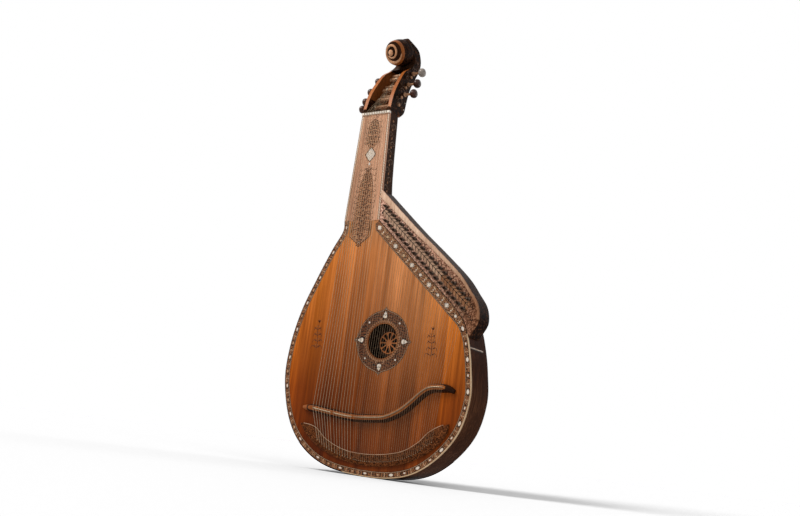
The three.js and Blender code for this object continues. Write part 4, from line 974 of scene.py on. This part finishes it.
def bridge_shade_mark(points):
    """Brown wood on the top of the rail and at its left end; elsewhere dark wood as painted shade."""
    middle = middle_of(points)
    return 1 if middle.y < -12.2 or middle.x < bridge_line[0].x + 16 else 0


bridge.mark_faces(bridge_shade_mark)
bridge.make("bridge_rail", [BRIDGE_SHADE_WOOD, BROWN], "dark_carved_wood", replaces="bridge")

# Hitch board: a bevelled crescent with scrolls and a light line along its inner edge
hitch_in, hitch_out = spline(flat(HITCH_IN), 72), spline(flat(HITCH_OUT), 72)
hitch = Solid()
crescent = hitch_out + hitch_in[1:-1][::-1]
hitch.loft([ring_at(inwards(crescent, inset, closed=True), depth)
            for inset, depth in ((0, -0.3), (0, -2.9), (0.6, -3.8), (1.4, -4.25))])
hitch.make("hitch_crescent", [HITCH_CARVING], "brown_carved_wood", replaces="hitch_board", smooth=30)
hitch_relief = Solid()
for i in range(4, 68, 3):
    low = hitch_out[i]
    high = hitch_in[nearest(hitch_in, low)]
    tall = (high - low).length
    if tall < 9:
        continue
    hand = 1 if (i // 3) % 2 else -1
    heading = heading_of(hitch_out[i + 1] - hitch_out[i - 1]) + hand * 0.5
    for reach, turn_to, w in ((tall * 1.35, hand, 1.5), (tall * 0.75, -hand, 1.1)):
        scroll(hitch_relief, low.lerp(high, 0.5 - 0.22 * hand), heading, reach, turn_to, 0.95, w,
               lift=lambda p: at_depth(p, -4.2), high=0.75)
trace(hitch_relief, inwards(hitch_in, 1.1)[2:-2], 1.1, 1, lambda p: at_depth(p, -4.0), high=0.5, taper=1)
hitch_relief.make("hitch_relief", [HITCH_CARVING, TAN], "brown_carved_wood")


# Peg head: a lofted stem with a trough between its cheeks
def head_point(table, share):
    """Place on the head's front or back edge, from a table and a share of the head's length."""
    pts = [Vector(p) for p in table]
    at = share * (len(pts) - 1)
    i = min(int(at), len(pts) - 2)
    depth, height = curve_between(pts, i, at - i)
    return Vector((depth * HEAD_DEPTH, NECK_TOP + GAP + height * (HEAD_HEIGHT - GAP)))


def head_between(share, part):
    """Place inside the head's side view, a part of the way from its front edge to its back edge."""
    return head_point(HEAD_FRONT, share).lerp(head_point(HEAD_BACK, share), part)


def head_half(share):
    """Half of the head's width."""
    at = clamp(share) * (len(HEAD_WIDTHS) - 1)
    i = min(int(at), len(HEAD_WIDTHS) - 2)
    return lerp(TIP_WIDTH, HEAD_WIDTH, lerp(HEAD_WIDTHS[i], HEAD_WIDTHS[i + 1], at - i)) / 2


def head_ring(share, start, end_share, thin, corner):
    """Cross-section of the stem or the trough: flat front, rounded back corners."""
    front, rear = head_point(HEAD_FRONT, share), head_point(HEAD_BACK, share)
    inward = (rear - front).normalized()
    depth = (rear - front).length * end_share
    half = head_half(share) - thin
    profile = [(-half, start), (half, start)]
    profile += [(half - corner * inset, depth - corner * (1 - rise)) for inset, rise in quarter(5)]
    profile += [(-x, d) for x, d in profile[:1:-1]]
    return [Vector((NECK_X + x, *(front + inward * d))) for x, d in profile]


def head_light_and_shade_mark(points):
    """Carved cheeks; the throat in darker wood as painted shade; forward-facing cheek edges in lighter
    orange wood as painted light; dark wood as painted shade on the top and on faces turned back; told apart
    by place and slope.
    """
    centre = middle_of(points)
    spokes = [p - centre for p in points]
    normal = sum((spokes[k - 1].cross(spoke) for k, spoke in enumerate(spokes)), Vector()).normalized()
    on_side = abs(normal.x) > 0.75
    far = sum(abs(p.x - NECK_X) for p in points) / len(points)
    if centre.z > NECK_TOP + 0.64 * HEAD_HEIGHT:
        return 1 if on_side else 3
    if on_side:
        return 1 if far > 22 and far > head_half(0.5) - 4 else 2
    return 4 if normal.y < -0.2 and far > 15 else 3 if normal.y > 0.2 else 0


stem, trough = Solid(), Solid()
stem.loft([head_ring(i / 60, 0, 1, 0.15, 5 * (1 + (i / 60) ** 4)) for i in range(61)])
trough.loft([head_ring(lerp(0.016, 0.616, i / 36), -2, lerp(0.3, 0.87, min(1, i / 6)),
                       7 + 2.4 * math.sin(math.pi * i / 36), 3.5) for i in range(37)])
head = stem.minus(trough)
head.mark_faces(head_light_and_shade_mark)
for hand in (-1, 1):
    foot = Vector((NECK_X + hand * (head_half(0) - 4.5), head_point(HEAD_FRONT, 0).x + 1.0, NECK_TOP + 6.0))
    head.ball(foot, 5.2, 3, 6, stretch=(1, 0.8, 1))
head.make("head_stem", [BROWN, SIDE_CARVING, THROAT_SHADE, NECK, EDGE_LIT], "dark_carved_wood", replaces="head")

# Snail: a turned bulb on a tilted axis with a tapering spiral ridge on its face
SNAIL_PROFILE = [(-0.19, 0), (-0.175, 0.16), (-0.11, 0.25), (-0.02, 0.3), (0.04, 0.7), (0.05, 0.84),
                 (0.18, 0.93), (0.4, 1.0), (0.62, 1.01), (0.84, 0.82), (0.97, 0.42), (1.0, 0.0)]
SNAIL_TURNS, SNAIL_WIDTH_SHARE = 1.4, 0.86
RIDGE_REACH, RIDGE_EYE = SNAIL_RADIUS * 0.955 - 4.4, 9.7
snail_face = Vector((NECK_X, 0.278 * HEAD_DEPTH, NECK_TOP + 0.771 * HEAD_HEIGHT))
snail_turn = Matrix.Rotation(SNAIL_TILT, 3, "X")


def snail_light_and_shade_mark(points):
    """Carved back, light eye as a painted highlight, dark face as painted shade and brown rim, told apart
    along the snail's axis.
    """
    depth = (snail_turn.inverted() @ (middle_of(points) - snail_face)).y
    return 1 if depth > 12 else 2 if depth < -9 else 3 if depth < 3 else 0


snail = Solid()
snail.turned([(p.x * SNAIL_LENGTH, clamp(p.y) * SNAIL_RADIUS) for p in spline(SNAIL_PROFILE, 44)], Vector(),
             Vector((0, 1, 0)), 56)
ridge = []
for i in range(101):
    t = i / 100
    across, up = polar(-t * SNAIL_TURNS * math.tau) * lerp(RIDGE_REACH, RIDGE_EYE, t)
    ridge.append(Vector((across, lerp(4.4, -7.5, t), up)))
# The spiral ridge is in the lighter snail wood as a painted highlight.
snail.tube(ridge, [lerp(3.7, 2.2, i / 100) * clamp(0.25 + i / 20) for i in range(101)], 12, 2)
snail.verts = [snail_turn @ Vector((v.x * SNAIL_WIDTH_SHARE, v.y, v.z)) + snail_face for v in snail.verts]
snail.mark_faces(snail_light_and_shade_mark)
snail.make("head_snail", [BROWN, SIDE_CARVING, SNAIL_HIGHLIGHT, NECK], "dark_carved_wood", smooth=60)

# Relief on the cheeks of the head in lighter wood as a painted highlight, with pearl dots along their backs
cheek_line = [head_between(i / 80, 0.5) for i in range(81)]


def cheek_skin(hand, p):
    """Place on a cheek from its depth and height."""
    return Vector((NECK_X + hand * (head_half(nearest(cheek_line, p) / 80) - 0.12), p.x, p.y))


cheek_carving = Solid()
for hand in (-1, 1):
    for k in range(9):
        share = 0.13 + 0.068 * k
        start = head_between(share, 0.36 if k % 2 else 0.64)
        heading = heading_of(head_between(share + 0.05, 0.5) - head_between(share, 0.5))
        turn_to = -1 if k % 2 else 1
        wide = (head_point(HEAD_BACK, share) - head_point(HEAD_FRONT, share)).length
        for reach, way, w in ((wide * 0.62, turn_to, 1.7), (wide * 0.34, -turn_to, 1.2)):
            scroll(cheek_carving, start, heading + 0.3 * way, reach, way, 0.95, w, steps=14,
                   lift=lambda p: cheek_skin(hand, p), normal=(hand, 0, 0), high=0.6)
        pearl_at = cheek_skin(hand, head_between(share, 0.86))
        cheek_carving.ball(pearl_at, 1.7 - 0.08 * k, 1, stretch=(0.4, 1, 1))
cheek_carving.make("cheek_carving", [RELIEF_HIGHLIGHT, PEARL], "dark_carved_wood", smooth=50)

# Pegs: light shafts with windings painted pale as a glint, dark turned knobs and one of horn
KNOB = ((0.0, 4.8), (0.08, 6.9), (0.2, 8.3), (0.38, 9.15), (0.55, 9.25), (0.72, 8.7), (0.84, 7.5),
        (0.9, 6.0), (0.925, 2.8), (0.96, 3.0), (0.99, 2.0), (1.0, 0.0))
KNOB_LENGTH, STEM_LENGTH, COLLAR_LENGTH, COLLAR_RADIUS, WINDING_REACH = 15, 14.5, 3.4, 5.4, 6.05
peg_centres = [head_between(share, part) for share, part in PEGS]


def winding_offset(index):
    """Distance of both windings of a peg from the middle of the head."""
    return (PAIRS - 0.5 - index) * STRING_STEP * TROUGH_SPREAD


for i, (at, sign) in enumerate(zip(peg_centres, PEG_SIDES)):
    half = head_half(PEGS[i][0] - COLLAR_RADIUS / HEAD_HEIGHT)
    out = half + GAP
    knob = out + COLLAR_LENGTH + STEM_LENGTH
    steps = [(-half - 2.3, 0, 0), (-half - 2.4, 2.6, 0), (-half - 1.6, 3.6, 0)]
    for side in (-1, 1):
        c = side * winding_offset(i)
        steps.append((c - 1.9, 4.3, 0))
        for k in range(4):
            steps += [(c - 1.5 + k * 0.95, 4.7, 2), (c - 1.1 + k * 0.95, 5.7, 2)]
        steps.append((c + 2.2, 4.3, 0))
    steps += [(out + d, r, 0) for d, r in ((0, 4.3), (0.3, 5.2), (2.8, 5.3), (3.3, 4.2), (4.6, 3.1))]
    steps += [(knob - 3, 2.8, 0), (knob - 1.2, 3.4, 1)]
    steps += [(knob + t * KNOB_LENGTH, r * (1.1 if sign > 0 else 1.0), 1) for t, r in KNOB]
    peg = Solid()
    peg.turned([(sign * x, r) for x, r, mark in steps], Vector((NECK_X, at.x, at.y)), Vector((1, 0, 0)), 28,
               [mark for x, r, mark in steps])
    name = f"peg_{i + 1}"
    peg.make("turned_" + name, [PEG_SHAFT, PEG_HORN if i == PAIRS - 1 else PEG_KNOB, WINDING_GLINT],
             "dark_carved_wood", name + "_body", name)

# Tuning pins in two rows; the inner one stands midway between the strings of the outer one
treble_low, treble_high = (v * WIDTH for v in SADDLES["treble"])


def treble_place(order):
    """Place of a treble string on its saddle, counted from the left."""
    x = lerp(treble_low + SADDLE_MARGIN, treble_high - SADDLE_MARGIN, order / (OUTER_PINS + INNER_PINS - 1))
    return Vector((x, value_at(bridge_line, x)))


outer_pins = [(beside(lerp(-0.023, 1.098, i / (OUTER_PINS - 1)) * shoulder_length, OUTER_ROW), 2 * i)
              for i in range(OUTER_PINS)]
crossings = []
for pin, order in outer_pins:
    path = treble_place(order) - pin
    reach = (pin - right_foot).dot(across_shoulder)
    crossings.append(pin + path * ((INNER_ROW - reach) / path.dot(across_shoulder)))
inner_pins = [(crossings[i].lerp(crossings[i + 1], 0.5), 2 * i + 1) for i in range(INNER_PINS)]
PIN_REACH, PIN_SIDE = 3.3, 0.4
PIN_PROFILE = [(2.0, 0), (2.0, 2.9), (-3.6, 2.9)]
for k in range(4):
    PIN_PROFILE += [(-4.4 - k * 1.1, 3.1), (-4.9 - k * 1.1, 3.65)]
PIN_PROFILE += [(-9.0, 2.8), (-11.2, 2.7), (-11.8, 2.45), (-12.0, 0)]


def add_pin(solid, centre):
    """Turned shank with its windings, and a square head for the key at a random angle."""
    angle = random.random() * math.tau
    solid.turned(PIN_PROFILE, at_depth(centre, 0), Vector((0, 1, 0)), 16)
    solid.loft([[at_depth(centre + polar(angle + q * math.pi / 2) * half * 1.4, y) for q in range(4)]
                for y, half in ((-11.5, 1.75), (-12.3, 1.72), (-16.4, 1.5), (-16.9, 1.25))])


for i, (centre, order) in enumerate(outer_pins):
    pin = Solid()
    add_pin(pin, centre)
    name = f"tuning_pin_{i + 1}"
    pin.make(f"turned_pin_{i + 1}", [PIN_STEEL], "bright_steel", name + "_body", name)
inner = Solid()
for centre, order in inner_pins:
    add_pin(inner, centre)
inner.make("inner_pins", [PIN_STEEL], "bright_steel")


# Strings with the metal saddle under each group
def string_end(x):
    """Place over the saddle and place on the hitch board of a string."""
    spot = x * 0.9
    hitch_z = lerp(value_at(hitch_in, spot), value_at(hitch_out, spot), 0.6)
    return [Vector((x, SADDLE_STRING_Y, value_at(bridge_line, x))), Vector((spot, HITCH_STRING_Y, hitch_z))]


def nut_place(index):
    return NECK_X + (index - PAIRS + 0.5) * STRING_STEP


def neck_route(index, x):
    """Route of a neck string: peg winding, both sides of the nut, saddle, hitch board."""
    peg_index = min(index, 2 * PAIRS - 1 - index)
    side = -1 if index < PAIRS else 1
    at = peg_centres[peg_index]
    path = Vector((at.x - NUT_STRING_Y, at.y - NECK_TOP - GAP)).normalized()
    wind = at + left_of(path) * WINDING_REACH
    nut_x = nut_place(index)
    return [Vector((NECK_X + side * winding_offset(peg_index), *wind)),
            Vector((nut_x, NUT_STRING_Y + 0.5, NECK_TOP + GAP)),
            Vector((nut_x, NUT_STRING_Y + 0.5, NECK_TOP - NUT_LENGTH)), *string_end(x)]


def treble_route(centre, order):
    """Route of a treble string: side of its pin, saddle, hitch board."""
    spot = treble_place(order)
    path = (spot - centre).normalized()
    start = centre + path * PIN_REACH - left_of(path) * PIN_SIDE
    return [at_depth(start, PIN_STRING_Y), *string_end(spot.x)]


def string_set(name, routes, radius, wire):
    """Saddle and strings of one group, their stretches below the bridge painted brighter as a highlight."""
    low, high = (v * WIDTH for v in SADDLES[name])
    solid = Solid()
    points = []
    for k in range(33):
        x = lerp(low, high, k / 32)
        points.append(Vector((x, SADDLE_Y, value_at(bridge_line, x))))
    radii = [SADDLE_RADIUS * clamp(0.35 + 8 * min(k, 32 - k) / 32) for k in range(33)]
    solid.tube(points, radii, 10, 1)
    for route in routes:
        if len(route) > 3:
            solid.tube(route[:2], radius * 0.7, 6)
            solid.tube(route[1:-1], radius, 6)
            solid.tube(route[-2:], radius * 0.9, 6, 2)
        else:
            solid.tube(route, radius, 6)
        solid.ball(route[-1] + Vector((0, 0.2, 0)), KNOT_RADIUS, sides=8)
    solid.make(name + "_wires", [wire, STEEL, WIRE_HIGHLIGHT], "bright_steel", replaces=name + "_strings",
               smooth=60)


# Dark wedges in the nut's string slots: painted shade.
nut_slots = Solid()
for index in range(2 * PAIRS):
    x = nut_place(index)
    nut_slots.loft([[Vector((x - 1.0, -3.36, z)), Vector((x + 1.0, -3.36, z)), Vector((x, -2.36, z))]
                    for z in (NECK_TOP - 4.9, NECK_TOP - 0.1)])
nut_slots.make("nut_slots", [EBONY], "dark_carved_wood", smooth=0)
for name, first, radius in (("bass", 0, 0.44), ("tenor", PAIRS, 0.36)):
    low, high = (v * WIDTH for v in SADDLES[name])
    routes = [neck_route(first + i, lerp(low + SADDLE_MARGIN, high - SADDLE_MARGIN, i / (PAIRS - 1)))
              for i in range(PAIRS)]
    string_set(name, routes, radius, WOUND)
string_set("treble", [treble_route(*pin) for pin in outer_pins + inner_pins], 0.22, STEEL)

# Rosette round the sound hole, let into the board
ROSETTE_RADIUS, ROSETTE_TIP = 64.4, 8.2


def ogee(growth):
    """Round outline with four ogee tips."""
    return [HOLE + polar(a) * (ROSETTE_RADIUS + growth + ROSETTE_TIP * (1 - abs(math.sin(2 * a))) ** 7)
            for a in around(256)]


rosette = Solid()
rosette.slab(ogee(-0.3), -0.08, 1.3, [circle(HOLE, HOLE_RADIUS + 1.2)])
rosette.make("rosette_ground", [ROUND], "inlaid_marquetry", replaces="sound_hole_rosette", smooth=0)
rosette_inlay = Solid()
rosette_inlay.slab(ogee(-0.2), -0.14, 0.6, [ogee(-1.5)], 1)
rosette_inlay.slab(ogee(-1.5), -0.12, 0.6, [ogee(-2.1)], 2)
for inner_radius, outer_radius, mark in ((38.2, 38.9, 1), (38.9, 43.6, 3), (43.6, 44.3, 1)):
    rosette_inlay.slab(circle(HOLE, outer_radius), -0.14, 0.6, [circle(HOLE, inner_radius)], mark)
for a in around(48):
    shape = [HOLE + polar(a + d) * r for d, r in ((0, 39.1), (0.035, 39.1), (0.075, 43.4), (0.04, 43.4))]
    rosette_inlay.slab(shape, -0.18, 0.5, mark=1)
TIP_SCROLLS = ((48.5, 3.2, 0.9, 15, -1, 0.9, 1.0, 1), (50.5, 5.6, 0.9, 9.5, -1, 0.9, 0.8, 1),
               (46.5, 6, 1.5, 11, 1, 0.8, 0.8, 2))
SIDE_SCROLLS = ((48, 1.2, 0.7, 11, 1, 0.85, 1.0, 1), (57, 2, 1.3, 11, -1, 0.85, 1.0, 1))
for k, a in enumerate(around(8)):
    outward = polar(a)
    if k % 2 == 0:
        drop(rosette_inlay, HOLE + outward * 55.6, outward, 18, 14, -0.13, 0.4, 1)
        drop(rosette_inlay, HOLE + outward * 55.2, outward, 15, 11.5, -0.18, 0.4)
        dot(rosette_inlay, HOLE + outward * 66.3, 0.9)
    else:
        dot(rosette_inlay, HOLE + outward * 53.5, 2.2)
    for hand in (-1, 1):
        for r, off, swing, reach, way, turns, w, mark in SIDE_SCROLLS if k % 2 else TIP_SCROLLS:
            start = HOLE + outward * r + left_of(outward) * hand * off
            scroll(rosette_inlay, start, a + hand * swing, reach, way * hand, turns, w, mark)
rosette_inlay.make("rosette_inlay", [PEARL, EBONY, TAN, LEAF_BROWN], "inlaid_marquetry")

# Rose behind the sound hole: two rings of petals cut through, round eyes between them and a raised hub
ROSE_PETALS, ROSE_RADIUS, HUB_RADIUS, EYE_RING, EYE_RADIUS = 10, 56.8, 23.0, 22.6, 1.7


def petal(middle, low, high, rib, power):
    """Opening between two radii, narrowed to leave a rib on each side."""
    loop = []
    for k in range(16):
        t = (k if k < 8 else 15 - k) / 7
        r = lerp(low, high, t)
        reach = (math.pi / ROSE_PETALS - rib / 2 / r) * math.sin(math.pi * lerp(0.14, 0.86, t)) ** power
        loop.append(HOLE + polar(middle + (reach if k < 8 else -reach)) * r)
    return loop


rose = Solid()
rose_front = NECK_FRONT + BRACE_HEIGHT + GAP
inner_petals = [petal(a, 6.5, 21.5, 2.0, 0.6) for a in around(ROSE_PETALS, 0.5)]
eyes = [circle(HOLE + polar(a) * EYE_RING, EYE_RADIUS, 12) for a in around(ROSE_PETALS)]
outer_petals = [petal(a, 26.5, 49.0, 2.6, 0.35) for a in around(ROSE_PETALS)]
openings = [loop for loops in zip(inner_petals, eyes, outer_petals) for loop in loops]
# The disc is in dark neck wood as painted shade; only the raised hub is in rose wood.
rose.slab(circle(HOLE, ROSE_RADIUS), rose_front, rose_front + 3.0, openings, 1)
rose.slab(circle(HOLE, HUB_RADIUS), rose_front - 1.2, rose_front + 0.1, inner_petals)
rose.make("carved_rose", [ROSE, NECK], "amber_soundboard_wood", replaces="rose_board", smooth=0)

# Camera
camera = link(bpy.data.objects.new("camera", bpy.data.cameras.new("camera")))
back = Vector((0.548, -0.809, -0.209)).normalized()
right = Vector((0.014, -0.241, 0.970)).cross(back).normalized()
place = Matrix((right, back.cross(right).normalized(), back)).transposed().to_4x4()
place.translation = (ORIGIN + Vector((1053.6, -1528.0, 56.65))) * 0.001
camera.matrix_world = place
camera.data.lens = 40.5
camera.data.sensor_width = 36.0
camera.data.clip_start, camera.data.clip_end = 0.05, 50
bpy.context.scene.camera = camera

# Lamps, all aimed at the middle of the object
for name, position, size, power, colour in (
        ("key", (-1.3, -1.7, 2.5), 1.3, 62, (1.0, 0.97, 0.93)),
        ("fill", (2.0, -1.7, 1.9), 1.6, 13, (0.96, 0.98, 1.0)),
        ("rim", (1.6, 2.2, 1.6), 1.2, 8, (1, 1, 1))):
    data = bpy.data.lights.new(name, "AREA")
    data.shape, data.size, data.energy, data.color = "DISK", size, power, colour
    lamp = link(bpy.data.objects.new(name, data))
    lamp.location = position
    lamp.rotation_euler = (Vector((0.0, 0.0, 0.45)) - lamp.location).to_track_quat("-Z", "Y").to_euler()

# World: white where the camera, a reflection or a clear surface shows it, soft grey light on the object
world = bpy.data.worlds.new("studio")
bpy.context.scene.world = world
studio = Nodes(world)
soft = studio.tree.nodes["Background"]
studio.feed(soft, {"Color": (0.5, 0.5, 0.51, 1), "Strength": 0.5})
white = studio.node("Background", {"Color": (1, 1, 1, 1), "Strength": 1.0})
rays = studio.node("LightPath").outputs
through = studio.math("MAXIMUM", rays["Is Glossy Ray"], rays["Is Transmission Ray"])
seen = studio.math("MAXIMUM", rays["Is Camera Ray"], through)
shown = studio.node("MixShader", {0: seen, 1: soft.outputs[0], 2: white.outputs[0]})
studio.feed(studio.tree.nodes["World Output"], {"Surface": shown.outputs[0]})

# Floor that keeps only the object's shadow
floor_mesh = bpy.data.meshes.new("floor")
floor_mesh.from_pydata([(-12, -12, 0), (12, -12, 0), (12, 12, 0), (-12, 12, 0)], [], [(0, 1, 2, 3)])
floor_mesh.materials.append(Paint("floor_paper", rough=0.9, base=(0.9, 0.9, 0.9)).material)
floor = link(bpy.data.objects.new("floor", floor_mesh))
floor.is_shadow_catcher = True
floor.location.z = -0.0005

bpy.context.scene.view_settings.view_transform = "Standard"
